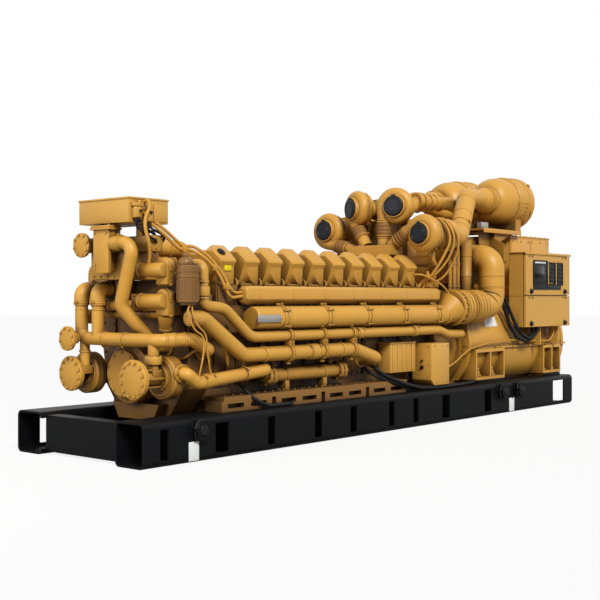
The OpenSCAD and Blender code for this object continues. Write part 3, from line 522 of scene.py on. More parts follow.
def coolant_pipes(side, name):
    bm = bmesh.new()
    out = Vector((0, side, 0))
    tube(bm, places(side, (COUPLING_X, PIPE_Y, 1.56), (COUPLING_X, PIPE_Y, 1.40), (-2.86, PIPE_Y, 1.375),
                    (-2.5, PIPE_Y, UPPER_Z), (0.74, PIPE_Y, UPPER_Z), (0.93, PIPE_Y, 1.04),
                    (1.25, PIPE_Y, 1.035)), UPPER_R, 0.24, 32)
    tube(bm, places(side, (COUPLING_X, PIPE_Y, 1.55), (COUPLING_X, PIPE_Y, 1.775),
                    (COUPLING_X, 0.56, 1.775), (-2.94, 0.43, 1.775)), UPPER_R, 0.07, 32)
    coupling = places(side, (COUPLING_X, PIPE_Y, 1.49), (COUPLING_X, PIPE_Y, 1.575))
    bar(bm, *coupling, 0.066, sides=40, edge=0.004)
    tube(bm, places(side, (-3.31, PIPE_Y, 1.29), (-3.13, PIPE_Y, 1.283), (-2.6, PIPE_Y, LOWER_Z),
                    (-0.89, PIPE_Y, LOWER_Z), (RETURN_X, PIPE_Y, RETURN_Z), (RETURN_X, BLOCK_Y, RETURN_Z)),
         LOWER_R, 0.16, 36)
    # plugged end and the stub into the front housing
    bar(bm, *places(side, (-3.322, PIPE_Y, 1.29), (-3.30, PIPE_Y, 1.29)), 0.06, sides=36, edge=0.005)
    tube(bm, places(side, (-3.08, PIPE_Y, 1.25), (-3.08, 0.615, 1.25)), 0.055, 0.1, 28)
    ring(bm, at(-3.08, side * 0.628, 1.25), -out, 0.05, 0.085, 0.016)
    # sleeves over the joints
    for x, z, r, w in ((-1.585, LOWER_Z, LOWER_R, 0.11), (-0.8125, UPPER_Z, UPPER_R, 0.075),
                       (0.23, UPPER_Z, UPPER_R, 0.06), (-2.33, LOWER_Z, LOWER_R, 0.02),
                       (-1.13, LOWER_Z, LOWER_R, 0.02)):
        ring(bm, at(x, side * PIPE_Y, z), LEFT, r - 0.002, r + 0.009, w, 0.003)
    # flange where the lower pipe enters the block
    ring(bm, at(RETURN_X, side * 0.532, RETURN_Z), NEAR, 0.06, 0.105, 0.022)
    bolt_circle(bm, at(RETURN_X, side * 0.543, RETURN_Z), out, 0.088, 4, 0.010, 45)
    piece("pipe_run_" + name, bm, MACHINE, stands_for=("coolant_pipes_" + name,))
    # band clamps beside the sleeves
    bm = bmesh.new()
    for xs, z, r in (((-1.655, -1.515), LOWER_Z, LOWER_R),
                     ((-0.862, -0.763, 0.185, 0.275), UPPER_Z, UPPER_R)):
        for x in xs:
            clamp(bm, at(x, side * PIPE_Y, z), LEFT, r + 0.001, 0.018, 0.018, (0, side, 0.9))
    for z in (1.62, 1.47):
        clamp(bm, at(COUPLING_X, side * PIPE_Y, z), UP, UPPER_R, 0.02, 0.018, (-1, side, 0))
    piece("pipe_bands_" + name, bm, MACHINE)


coolant_pipes(-1, "near")
coolant_pipes(1, "far")


# %% Bolts of the pipe saddles
def saddle_bolts(side, name):
    """The CAD saddles hold both pipes; here are their cap bolts and the foot plates on the block."""
    bm = bmesh.new()
    y, out = side * PIPE_Y, Vector((0, side, 0))
    lug_low, lug_high = LOWER_Z + LOWER_R * 0.82, UPPER_Z - UPPER_R * 0.9
    for x in (-1.95, -1.42, -0.932):
        for z, r in ((UPPER_Z, UPPER_R), (LOWER_Z, LOWER_R)):
            for s in (-1, 1):
                z0, z1 = sorted((z + s * (r + 0.024), z + s * (r + 0.04)))
                block(bm, at(x - 0.024, y - 0.014, z0), at(x + 0.024, y + 0.014, z1), 0.002)
                ring(bm, at(x + s * 0.017, y, z), LEFT, r + 0.004, r + 0.019, 0.008)
            bolt(bm, at(x, y, z + r + 0.038), UP, 0.012)
        # the pair of lugs that ties the upper saddle to the lower one
        for lug in (x - 0.034, x + 0.006):
            side_block(bm, side, (lug, PIPE_Y - 0.01, lug_low), (lug + 0.028, PIPE_Y + 0.052, lug_high))
        bolt_grid(bm, out, 0.008, (x - 0.02, x + 0.02), (side * (PIPE_Y + 0.051),),
                  (lug_low + 0.016, lug_high - 0.016))
        side_block(bm, side, (x - 0.05, 0.5205, 0.865), (x + 0.05, 0.534, 0.985), 0.003)
        bolt_grid(bm, out, 0.010, (x - 0.036, x + 0.036), (side * 0.533,), (0.88, 0.97))
    piece("saddle_bolts_" + name, bm, MACHINE)


saddle_bolts(-1, "near")
saddle_bolts(1, "far")

# %% [markdown]
# In front of the engine a cross pipe joins the two pumps and sends two risers up to the thermostat housing.
# The risers end in rubber elbows, fatter than the steel, held by worm drive clamps. Everything got the same
# paint, so the clamps and joints show only as shape.

# %% Front pipes
CROSS_X, CROSS_Z, CROSS_R = -3.52, 1.085, 0.062
RISER_Y, INNER_RISER_Y = 0.485, 0.24
ELBOW_R, ELBOW_Z = 0.072, 1.555
CROSS_CORNER, CROSS_BACK = at(CROSS_X, -0.62, CROSS_Z), at(-3.235, -0.745, 1.095)
PUMP_TOP = 0.8273  # the top of the pumps' outlet pads


def front_pipes():
    bm = bmesh.new()
    tube(bm, [at(CROSS_X, RISER_Y, 1.416), at(CROSS_X, RISER_Y, CROSS_Z), CROSS_CORNER, CROSS_BACK,
              at(-2.995, -0.745, 0.98), at(-2.995, -0.6203, 0.98)], CROSS_R, 0.085, 36)
    tube(bm, [at(CROSS_X, INNER_RISER_Y, z) for z in (CROSS_Z, 1.416)], CROSS_R - 0.004, 0.1, 36)
    for y in (RISER_Y, INNER_RISER_Y):
        tube(bm, places(1, (CROSS_X, y, 1.40), (CROSS_X, y, ELBOW_Z), (-3.36, y, ELBOW_Z)),
             ELBOW_R, 0.085, 36)
        ring(bm, at(CROSS_X, y, 1.42), UP, 0.06, ELBOW_R + 0.003, 0.03)
        clamp(bm, at(CROSS_X, y, 1.428), UP, ELBOW_R + 0.002, 0.016, 0.018, (-1, -0.3, 0))
        ring(bm, at(CROSS_X, y, 1.36), UP, CROSS_R - 0.006, CROSS_R + 0.002, 0.012)
        clamp(bm, at(-3.40, y, ELBOW_Z), LEFT, ELBOW_R + 0.001, 0.016, 0.018, (0, -0.4, 1))
    # legs down to the pumps, the near one with a thick collar
    for y, r in ((RISER_Y - 0.05, 0.048), (-0.55, 0.051)):
        tube(bm, [at(CROSS_X, y, PUMP_TOP), at(CROSS_X, y, CROSS_Z)], r, 0.1, 32)
    ring(bm, at(CROSS_X, RISER_Y - 0.05, 0.96), UP, 0.046, 0.056, 0.02)
    bar(bm, at(CROSS_X, -0.55, 0.87), at(CROSS_X, -0.55, 0.945), 0.08, sides=40, edge=0.005)
    bolt_circle(bm, at(CROSS_X, -0.55, 0.944), UP, 0.067, 6, 0.008)
    # joint sleeves and clamp bands along the cross pipe
    for y in (0.104, -0.192):
        ring(bm, at(CROSS_X, y, CROSS_Z), NEAR, CROSS_R - 0.002, CROSS_R + 0.006, 0.018, 0.003)
        clamp(bm, at(CROSS_X, y + 0.03, CROSS_Z), NEAR, CROSS_R + 0.001, 0.012, 0.016, (-0.4, 0, -1))
    along = (CROSS_BACK - CROSS_CORNER).normalized()
    for share, rise, width, edge in ((0.2, 0.007, 0.016, 0.003), (0.48, 0.007, 0.016, 0.003),
                                     (0.78, 0.007, 0.016, 0.003), (0.34, 0.004, 0.07, 0.002)):
        ring(bm, CROSS_CORNER.lerp(CROSS_BACK, share), along, CROSS_R - 0.002, CROSS_R + rise, width, edge)
    ring(bm, at(-2.995, -0.632, 0.98), NEAR, 0.05, 0.088, 0.02)
    piece("cross_pipe_and_risers", bm, MACHINE, stands_for=("front_pipes",))


def s_pipe():
    bm = bmesh.new()
    tube(bm, places(1, (-3.62, -0.1103, 1.975), (-3.62, -0.40, 1.975), (-3.60, -0.19, 1.40),
                    (-3.29, -0.33, 1.01), (-3.15, -0.33, 1.01)), 0.062, 0.12, 36)
    bar(bm, at(-3.62, -0.1103, 1.975), at(-3.62, -0.235, 1.975), 0.071, sides=40, edge=0.006)
    clamp(bm, at(-3.62, -0.215, 1.975), NEAR, 0.071, 0.014, 0.016, (-0.3, 0, 1))
    ring(bm, at(-3.162, -0.33, 1.01), LEFT, 0.05, 0.088, 0.02)
    piece("swan_neck_pipe", bm, MACHINE, stands_for=("s_pipe",))


front_pipes()
s_pipe()

# %% Discharge pipes of the water pumps
bm = bmesh.new()
for side in (-1, 1):
    out = Vector((0, side, 0))
    tube(bm, places(side, (-3.37, 0.7503, 0.79), (-3.37, 0.83, 0.79), (-3.24, 0.83, 0.70),
                    (-2.27, 0.81, 0.775), (-2.27, BLOCK_Y, 0.775)), 0.06, 0.08, 32)
    ring(bm, at(-3.37, side * 0.762, 0.79), NEAR, 0.05, 0.082, 0.022)
    bolt_circle(bm, at(-3.37, side * 0.772, 0.79), out, 0.072, 6, 0.009)
    ring(bm, at(-2.27, side * 0.532, 0.775), NEAR, 0.05, 0.092, 0.022)
    ring(bm, at(-3.11, side * 0.827, 0.7125), Vector((1, 0, 0.09)), 0.058, 0.067, 0.10, 0.003)
    for x, z in ((-3.16, 0.707), (-3.06, 0.717), (-2.62, 0.754)):
        clamp(bm, at(x, side * 0.826, z), Vector((0.99, 0, 0.09)), 0.062, 0.016, 0.018, (0, side, 0.8))
piece("discharge_runs", bm, MACHINE, stands_for=("pump_discharges",))

# %% [markdown]
# Pipes that the buyer connects on site leave the works closed by blind flanges: thick steel discs held by a
# ring of bolts against the flange behind. The disc has a turned edge, and a dark gap shows the gasket.

# %% Flanges, pumps and damper
def flange_pair(bm, centre, radius, count, neck, depth, size):
    """A blind disc and the pipe flange behind it, with bolts in front and nuts behind."""
    disc = radius * 0.13
    back = disc * 2 + 0.004
    for start, end, share, edge in ((0, disc, 1, 0.004), (disc, disc + 0.004, 0.93, 0),
                                    (disc + 0.004, back, 0.97, 0.004)):
        bar(bm, centre + RIGHT * end, centre + RIGHT * start, radius * share, sides=64, edge=edge)
    bar(bm, centre + RIGHT * (disc * 2), centre + RIGHT * depth, neck, sides=48)
    bolt_circle(bm, centre, LEFT, radius * 0.85, count, size, 15)
    bolt_circle(bm, centre + RIGHT * back, RIGHT, radius * 0.85, count, size, 15, False)


PUMP_Y, PUMP_Z, PUMP_FACE = 0.55, 0.745, -3.46
PUMP_PROFILE = [(0, 0.001), (0, 0.112), (0.006, 0.12), (0.02, 0.122), (0.025, 0.15), (0.018, 0.154),
                (0.018, 0.168), (0.025, 0.172), (0.028, 0.19), (0.042, 0.202), (0.07, 0.202), (0.075, 0.196),
                (0.085, 0.196), (0.09, 0.202), (0.15, 0.2), (0.165, 0.185), (0.165, 0.12), (0.314, 0.12),
                (0.314, 0.001)]


def pump(bm, discs, side, flange_x, flange_r):
    """Casing of a pump: inlet flange on a thin neck with studs, dished cover, volute, outlet and pad."""
    centre = at(PUMP_FACE, side * PUMP_Y, PUMP_Z)
    flange = at(flange_x, side * PUMP_Y, PUMP_Z)
    flange_pair(discs, flange, flange_r, 12, 0.062, PUMP_FACE - flange_x, 0.012)
    turned(bm, PUMP_PROFILE, centre + LEFT * 0.005, RIGHT, 64)
    bolt_circle(bm, centre + LEFT * 0.002, LEFT, 0.10, 8, 0.009)
    for k in range(6):
        out = spoke(60 * k) * 0.088
        bar(bm, flange + RIGHT * 0.04 + out, centre + out, 0.009, sides=10)
    side_block(bm, side, (-3.43, 0.65, 0.705), (-3.31, 0.75, 0.845), 0.012)
    side_block(bm, side, (-3.58, 0.61, 0.745), (-3.46, 0.385, 0.827), 0.008)


bm = bmesh.new()
pump_discs = bmesh.new()
pump(bm, pump_discs, -1, -3.77, 0.178)
pump(bm, pump_discs, 1, -3.61, 0.17)
piece("pump_castings", bm, CASTING, stands_for=("water_pumps",))
piece("pump_inlet_discs", pump_discs, MACHINE)

bm = bmesh.new()
flange_pair(bm, at(-3.64, 0.345, 1.97), 0.118, 8, 0.072, 0.1897, 0.011)
flange_pair(bm, at(-3.70, RISER_Y, CROSS_Z), 0.118, 8, 0.052, 0.1177, 0.011)
piece("blind_discs", bm, MACHINE, stands_for=("blind_flanges",))

DAMPER_Z = 0.757
bm = bmesh.new()
turned(bm, [(0, 0.001), (0, 0.216), (0.007, 0.223), (0.062, 0.223), (0.066, 0.232), (0.066, 0.272),
            (0.074, 0.283), (0.105, 0.283), (0.109, 0.277), (0.119, 0.277), (0.123, 0.283), (0.18, 0.283),
            (0.185, 0.277), (0.185, 0.001)], at(-3.425, 0, DAMPER_Z), RIGHT, 80)
bolt_circle(bm, at(-3.425, 0, DAMPER_Z), LEFT, 0.198, 10, 0.009)
bolt_circle(bm, at(-3.359, 0, DAMPER_Z), LEFT, 0.252, 20, 0.008, 0, False)
piece("damper_wheel", bm, CASTING, stands_for=("crank_damper",))

# %% [markdown]
# Cast boxes are never sharp: the mould needs rounded corners and the paint softens them further. So a casting
# is an outline pushed out along a direction with every edge rounded, and its lid or flange stands a little
# proud with bolts set on it.

# %% Castings at the front
@apart
def prism(bm, outline, push, edge=0.006, segments=2):
    """A solid made from a flat outline of points pushed out by a vector, its edges rounded."""
    verts = [bm.verts.new(p) for p in outline]
    face = bm.faces.new(verts)
    grown = bmesh.ops.extrude_face_region(bm, geom=[face])["geom"]
    moved = [g for g in grown if isinstance(g, bmesh.types.BMVert)]
    bmesh.ops.translate(bm, vec=Vector(push), verts=moved)
    if edge:
        ease(bm, verts + moved, edge, segments)


HOUSING_X = -3.1503  # the front face of the front housing
COOLER_X = -3.44  # where the two oil coolers lie
bm = bmesh.new()
for z in (1.443, 1.727):
    bar(bm, at(COOLER_X, -0.612, z), at(COOLER_X, -0.245, z), 0.066, sides=40, edge=0.014)
    ring(bm, at(COOLER_X, -0.30, z), NEAR, 0.06, 0.073, 0.02, 0.003)
    for dx, dz in ((-0.05, -0.053), (-0.05, 0.053), (0.05, 0.053)):
        bolt(bm, at(COOLER_X + dx, -0.244, z + dz), NEAR, 0.009)
    # the end casting: an arch over a flat foot
    arch = [at(-3.42, -0.545, z + 0.035) + spoke(a) * 0.076 for a in range(0, 181, 15)]
    prism(bm, arch + [at(-3.42, -0.621, z - 0.135), at(-3.42, -0.469, z - 0.135)], (0.10, 0, 0), 0.01)
    ring(bm, at(-3.372, -0.545, z + 0.035), LEFT, 0.05, 0.083, 0.02, 0.004)
    blocks(bm, ((-3.5, -0.245, z - 0.065), (-3.38, -0.2153, z + 0.065), 0.008),
           ((-3.33, -0.56, z - 0.13), (HOUSING_X, -0.48, z - 0.02), 0.006),
           ((-3.385, -0.632, z - 0.145), (-3.355, -0.46, z - 0.115), 0.004))
    bolt_grid(bm, NEAR, 0.011, (-3.37,), (-0.621,), (z - 0.1, z))
bar(bm, at(-3.33, -0.5, 1.18), at(-3.37, -0.545, 1.315), 0.05, 0.076, 32)
ring(bm, at(-3.333, -0.503, 1.19), Vector((-0.28, -0.31, 0.91)), 0.04, 0.06, 0.02)
for x, z, r in ((-3.375, 1.40, 0.05), (-3.33, 1.32, 0.04)):
    tube(bm, [at(x, -0.471, z), at(x, 0.33, z)], r, 0.1, 28)
    for y in (-0.30, 0.02, 0.22):
        ring(bm, at(x, y, z), NEAR, r - 0.003, r + 0.008, 0.022, 0.003)
piece("oil_cooler_castings", bm, MACHINE, stands_for=("oil_coolers",))

# %% Oil filter
FILTER = at(-3.305, -0.772, 1.405)
FILTER_PLUG = at(-3.325, -0.765, 1.765)
bm = bmesh.new()
turned(bm, [(0, 0.001), (0, 0.068), (0.006, 0.075), (0.02, 0.075), (0.024, 0.094), (0.032, 0.1),
            *collar(0.245, 0.272, 0.104, 0.004), (0.355, 0.1), (0.362, 0.094), (0.366, 0.001)],
       FILTER, UP, 48)
turned(bm, [(0, 0.001), (0, 0.07), (0.02, 0.074), (0.045, 0.07), (0.064, 0.052), (0.074, 0.028),
            (0.078, 0.001)], FILTER_PLUG, UP, 32)
bar(bm, FILTER_PLUG + UP * 0.065, FILTER_PLUG + UP * 0.11, 0.026, sides=6, edge=0.003)
for k in range(24):
    a = k * math.tau / 24
    rib = FILTER + Vector((math.cos(a), math.sin(a), 0)) * 0.1
    bar(bm, rib + UP * 0.05, rib + UP * 0.23, 0.005, sides=6)
ring(bm, FILTER + UP * 0.31, UP, 0.099, 0.106, 0.022, 0.002)
bolt_circle(bm, FILTER + UP * 0.365, UP, 0.085, 6, 0.009)
block(bm, at(-3.305, -0.734, 1.44), at(-3.19, -0.48, 1.52), 0.006)
block(bm, at(-3.2, -0.6, 1.44), at(HOUSING_X, -0.48, 1.52), 0.004)
# the filter can wears the enamel darkened with painted shade
piece("oil_filter_can", bm, FILTER_PAINTED_SHADE, stands_for=("oil_filter",))

# %% Thermostat housing
bm = bmesh.new()
blocks(bm,
       ((-3.68, -0.11, 1.70), (-3.64, 0.11, 2.10), 0.005),
       ((-3.645, -0.11, 1.89), (-3.559, 0.11, 2.10), 0.005),
       ((-3.645, -0.06, 1.72), (-3.55, 0.06, 1.895), 0.004),
       ((-3.70, -0.14, 2.10), (-3.54, 0.14, 2.118), 0.004),
       ((-3.692, -0.132, 2.118), (-3.548, 0.132, 2.14), 0.004),
       ((-3.555, -0.215, 1.641), (-3.15, 0.30, 1.90), 0.012),
       ((-3.45, -0.424, 1.899), (-3.29, 0.424, 2.044), 0.010),
       ((-3.456, -0.412, 1.893), (-3.284, -0.388, 2.05), 0.003),
       ((-3.456, 0.388, 1.893), (-3.284, 0.412, 2.05), 0.003),
       ((-3.36, 0.13, 1.46), (HOUSING_X, 0.56, 1.70), 0.014))
bolt_grid(bm, UP, 0.009, (-3.675, -3.62, -3.565), (-0.115, 0.115), (2.139,))
bolt_grid(bm, LEFT, 0.009, (-3.68,), (0.08,), (1.735, 1.775))
bolt_grid(bm, LEFT, 0.009, (-3.68,), (-0.085, 0.085), (2.07,))
bolt_grid(bm, NEAR, 0.008, (-3.43, -3.37, -3.31), (-0.424,), (2.02, 1.925))
bolt_grid(bm, LEFT, 0.009, (-3.555,), (-0.15, -0.05, 0.05, 0.15, 0.25), (1.67,))
tube(bm, places(1, (-3.295, 0, 1.958), (-2.68, 0, 1.958), (-2.49, 0, 1.76), (-2.49, 0, 1.2803)),
     0.085, 0.14, 36)
for x in (-3.1, -2.85):
    ring(bm, at(x, 0, 1.958), LEFT, 0.08, 0.093, 0.03, 0.003)
piece("thermostat_castings", bm, MACHINE, stands_for=("thermostat_housing",))

# %% [markdown]
# The box on top of the front holds the engine's own electronics. It is folded sheet steel with a lid that
# laps over the walls, standing on two blocks. Its near side carries two small switch boxes.

# %% Engine control box
bm = bmesh.new()
blocks(bm,
       ((-3.65, -0.356, 2.16), (-3.166, 0.356, 2.38), 0.004),
       ((-3.657, -0.363, 2.374), (-3.159, 0.363, 2.392), 0.004),
       ((-3.40, -0.25, 2.0443), (-3.30, -0.17, 2.161), 0.003),
       ((-3.40, 0.17, 2.0443), (-3.30, 0.25, 2.161), 0.003),
       ((-3.35, -0.364, 2.175), (-3.19, -0.355, 2.335), 0.002),
       ((-3.62, -0.40, 2.305), (-3.50, -0.355, 2.34), 0.004))
bolt_grid(bm, UP, 0.008, (-3.58, -3.24), (-0.30, 0.30), (2.391,))
for x0, x1, z0, z1 in ((-3.61, -3.53, 2.20, 2.30), (-3.47, -3.40, 2.17, 2.29)):
    block(bm, at(x0, -0.41, z0), at(x1, -0.355, z1), 0.006)
    block(bm, at(x0 + 0.006, -0.416, z0 + 0.006), at(x1 - 0.006, -0.408, z1 - 0.006), 0.003)
bar(bm, at(-3.545, -0.385, 2.335), at(-3.545, -0.385, 2.362), 0.016, sides=20, edge=0.002)
piece("electronics_box", bm, SHEET, stands_for=("engine_control_box",))
bm = bmesh.new()
for x, z, end, r in ((-3.56, 2.262, -0.434, 0.012), (-3.435, 2.255, -0.436, 0.013)):
    bar(bm, at(x, -0.416, z), at(x, end, z), r, sides=20, edge=0.003)
block(bm, at(-3.60, -0.405, 2.16), at(-3.52, -0.37, 2.19), 0.004)
piece("switch_knobs", bm, LATCH)

# %% [markdown]
# Each cylinder has its own valve cover, a cast hood with a slanted nose and a scooped corner low on its outer
# face. A cover's section changes along its length only at the scoop and the nose, so it is lofted: the same
# outline is drawn at a few stations, with its lowest and highest points moved, and bridge_loops skins them.

# %% Helper: a loft
@apart
def loft(bm, sections, edge=0.005, sharper=28):
    """A closed solid through outlines that have the same number of points."""
    loops, made = [], []
    for section in sections:
        verts = [bm.verts.new(p) for p in section]
        loops.append([bm.edges.new(pair) for pair in zip(verts, verts[1:] + verts[:1])])
        made += verts
    for a, b in zip(loops, loops[1:]):
        bmesh.ops.bridge_loops(bm, edges=a + b)
    bmesh.ops.edgeloop_fill(bm, edges=loops[0])
    bmesh.ops.edgeloop_fill(bm, edges=loops[-1])
    if edge:
        ease(bm, made, edge, 2, sharper)


# %% Valve covers
HEAD_TOP, PITCH, BANK_X0 = 1.60, 0.341, -2.8  # top of the heads, spacing and start of the cylinders
COVER_L, NOSE = 0.215, 0.386  # a cover's length, and the height of its nose over the head
# distance along the cover, and how high its outer wall starts there
SCOOP = ((0.0, 0.155), (0.03, 0.142), (0.064, 0.118), (0.09, 0.088), (0.125, 0.042), (0.165, 0.004))


def cover_outline(low):
    """Half section of a cover: distance out and height over the head, its outer wall starting at low."""
    return [(0.538, 0.0), (0.54, low * 0.3), (0.585 + low * 0.03, low + 0.001), (0.595, 0.18), (0.624, 0.222),
            (0.619, 0.245), (0.51, 0.342), (0.455, 0.38), (0.425, NOSE), (0.412, 0.376), (0.405, 0.30),
            (0.22, 0.29), (0.20, 0.0)]


def valve_cover(bm, side, x):
    """A cover lofted through stations that lower its nose and raise the foot of its outer wall."""
    marks = [(d, low, min(NOSE, 0.325 + d * 0.72)) for d, low in SCOOP] + [(COVER_L, 0.002, NOSE)]
    sections = []
    for d, low, top in marks:
        fixed = (0, 10, 11, 12)  # the foot and the lid keep their height, the nose follows top
        sections.append([at(x + d, side * y, HEAD_TOP + (z if k in fixed else min(z, top)))
                         for k, (y, z) in enumerate(cover_outline(low))])
    loft(bm, sections, 0.004)
    # flange round the foot, its bolt, and the two cap bolts of the lid
    side_block(bm, side, (x - 0.004, 0.19, HEAD_TOP), (x + COVER_L + 0.004, 0.40, HEAD_TOP + 0.018), 0.003)
    side_block(bm, side, (x - 0.004, 0.55, HEAD_TOP), (x + 0.165, 0.577, HEAD_TOP + 0.014), 0.003)
    bolt(bm, at(x + 0.03, side * 0.572, HEAD_TOP + 0.013), UP, 0.009)
    bolt_grid(bm, UP, 0.011, (x + 0.05, x + 0.165), (side * 0.31,), (HEAD_TOP + 0.294,))
    # injector line and its nut between this cover and the next
    line = x + COVER_L + 0.045
    tube(bm, places(side, (line, 0.45, HEAD_TOP + 0.001), (line, 0.45, HEAD_TOP + 0.05),
                    (line + 0.01, 0.56, HEAD_TOP + 0.06), (line + 0.01, 0.59, HEAD_TOP + 0.001)),
         0.009, 0.02, 8)
    nut = places(side, (line + 0.01, 0.578, HEAD_TOP - 0.001), (line + 0.01, 0.578, HEAD_TOP + 0.045))
    bar(bm, *nut, 0.017, sides=6)


for side, name in ((-1, "near"), (1, "far")):
    bm = bmesh.new()
    for k in range(10):
        valve_cover(bm, side, BANK_X0 + k * PITCH + 0.06)
    piece("valve_hoods_" + name, bm, MACHINE, stands_for=("valve_covers_" + name,))

# cap of the oil filler on the first near cover, and a bare yellow plate on its face
bm = bmesh.new()
slope = Vector((0, -0.092, 0.1)).normalized()
cap = at(-2.652, -0.535, 1.905)
bar(bm, cap, cap + slope * 0.026, 0.044, sides=28, edge=0.006)
bar(bm, cap + slope * 0.02, cap + slope * 0.034, 0.028, sides=6, edge=0.003)
piece("oil_filler_cap", bm, LATCH)
bm = bmesh.new()
block(bm, at(-2.66, -0.603, 1.735), at(-2.57, -0.58, 1.785), 0.001)
piece("bare_yellow_plate", bm, YELLOW_PLATE)

# %% [markdown]
# Under the covers run the long boxed cover of the fuel rail and the round air manifold. The manifold is cast
# in lengths joined by pairs of rings with a bolt lug on top, and the rail cover is a folded tray with angled
# ends, screwed on from below.

# %% Fuel rail covers and air manifolds
RAIL_Y, RAIL_Z = 0.6003, 1.497
MANIFOLD_Y, MANIFOLD_Z, MANIFOLD_R = 0.7283, 1.272, 0.118


def fuel_rail(side, name):
    bm = bmesh.new()
    outline = [(RAIL_Y, 1.43), (RAIL_Y, 1.56), (0.625, 1.588), (0.70, 1.588), (0.722, 1.566), (0.722, 1.458),
               (0.672, 1.406), (0.625, 1.406)]
    sections = []
    for x, grow in ((-2.48, 0.72), (-2.44, 1.0), (0.862, 1.0), (0.895, 0.8)):
        wide = 0.8 + 0.2 * grow
        sections.append([at(x, side * (RAIL_Y + (y - RAIL_Y) * wide), RAIL_Z + (z - RAIL_Z) * grow)
                         for y, z in outline])
    loft(bm, sections, 0.004)
    for k in range(12):
        bolt(bm, at(-2.36 + k * 0.27, side * 0.648, 1.4065), -UP, 0.008)
    for k in range(7):
        side_block(bm, side, (-2.3 + k * 0.5, 0.7215, 1.463), (-2.27 + k * 0.5, 0.7245, 1.556), 0.001)
    piece("fuel_rail_trays_" + name, bm, SHEET, stands_for=("fuel_rail_covers",))


def air_manifold(side, name):
    bm = bmesh.new()
    y = side * MANIFOLD_Y
    turned(bm, [(0, 0.001), (0, 0.104), (0.012, 0.112), (0.03, MANIFOLD_R), (3.335, MANIFOLD_R),
                (3.335, 0.001)], at(-2.425, y, MANIFOLD_Z), RIGHT, 56)
    for x in (-2.054, -1.372, -0.69, -0.008, 0.674):
        for s in (0.011, 0.066):
            ring(bm, at(x + s, y, MANIFOLD_Z), LEFT, 0.112, 0.128, 0.022, 0.004, 56)
            block(bm, at(x + s - 0.009, y - 0.016, MANIFOLD_Z + 0.12),
                  at(x + s + 0.009, y + 0.016, MANIFOLD_Z + 0.15), 0.003)
        for a in (90, 35, 325, 215, 145):
            low = at(x - 0.004, y, MANIFOLD_Z) + spoke(a, side) * 0.136
            for start, end, r, sides in ((0, 0.085, 0.007, 8), (-0.002, 0.008, 0.013, 6),
                                         (0.077, 0.087, 0.013, 6)):
                bar(bm, low + RIGHT * start, low + RIGHT * end, r, sides=sides)
    # drain stubs below, and the legs into the block
    for x in (-2.2, -1.6, -1.1, -0.45, 0.25):
        bar(bm, at(x, y, MANIFOLD_Z - 0.112), at(x, y, MANIFOLD_Z - 0.142), 0.02, sides=12, edge=0.003)
    for k in range(9):
        x, z = -2.35 + k * PITCH, MANIFOLD_Z + 0.02
        bar(bm, *places(side, (x, RAIL_Y, z), (x, 0.66, z)), 0.062, sides=24)
    piece("air_manifold_pipe_" + name, bm, MACHINE, stands_for=("air_manifold_" + name,))


for side, name in ((-1, "near"), (1, "far")):
    fuel_rail(side, name)
    air_manifold(side, name)

bm = bmesh.new()
block(bm, at(-2.46, -0.852, 1.235), at(-2.12, -0.8455, 1.305), 0.002)
for x in (-2.445, -2.135):
    bar(bm, at(x, -0.851, 1.27), at(x, -0.856, 1.27), 0.006, sides=10)
piece("manifold_plate", bm, PLATE)

# %% [markdown]
# Four turbochargers feed the engine. Air enters the middle of a snail-shaped volute, whose pipe grows as it
# winds round and leaves straight towards the collector. The volute is a circle swept along that path with a
# growing radius, and the parts round the shaft are turned. A black plug closes each inlet for transport.

# %% Turbochargers
VOLUTE_R, STUB, COLLECTOR_TOP = 0.15, 0.265, 2.11
TURBO_NAMES = ("outer_near", "inner_near", "inner_far", "outer_far")
# middle of each volute, how far its shaft is turned, and where its outlet meets the collector
CENTRES = ((0.545, -0.72, 2.23), (0.577, -0.291, 2.576), (0.577, 0.291, 2.576), (0.545, 0.72, 2.32))
TURBO_TURN = (0, 20, -20, 0)
TARGETS = ((-0.27, COLLECTOR_TOP), (-0.141, COLLECTOR_TOP), (0.085, COLLECTOR_TOP),
           (0.33, COLLECTOR_TOP - 0.05))
# where each turbine starts and ends along the shaft, and its radius
TURBINES = ((0.30, 0.53, 0.20), (0.25, 0.43, 0.14), (0.25, 0.43, 0.14), (0.30, 0.53, 0.20))
# the inlet lip and the volute's back cover, which are alike on all four
INLET_AND_COVER = [(-0.03, 0.001), (-0.03, 0.1195), (-0.106, 0.1195), (-0.11, 0.124), (-0.11, 0.133),
                   (-0.104, 0.138), (-0.085, 0.138), (-0.07, 0.146), (0.0, 0.16), (0.045, 0.19),
                   (0.062, 0.203), (0.092, 0.203), (0.098, 0.192), (0.115, 0.192), (0.13, 0.17),
                   (0.135, 0.11)]


class Turbo:
    """The places of one turbocharger: its shaft line, and the path of its outlet."""
    def __init__(self, k):
        self.turn = math.radians(TURBO_TURN[k])
        self.axis = Vector((math.cos(self.turn), math.sin(self.turn), 0))
        self.across = Vector((-math.sin(self.turn), math.cos(self.turn), 0))
        self.centre = at(*CENTRES[k])
        aim_y, aim_z = TARGETS[k][0] - CENTRES[k][1], TARGETS[k][1] - CENTRES[k][2]
        self.leave = math.atan2(aim_z, aim_y) + math.acos(VOLUTE_R / math.hypot(aim_y, aim_z))
        self.start = self.centre + self.ray(self.leave) * VOLUTE_R
        self.out = self.heading(self.leave)
        self.end = self.centre + self.across * aim_y + UP * aim_z

    def ray(self, a):
        """The direction from the shaft at that angle."""
        return self.across * math.cos(a) + UP * math.sin(a)

    def heading(self, a):
        """The way the air runs at that angle."""
        return self.across * math.sin(a) - UP * math.cos(a)


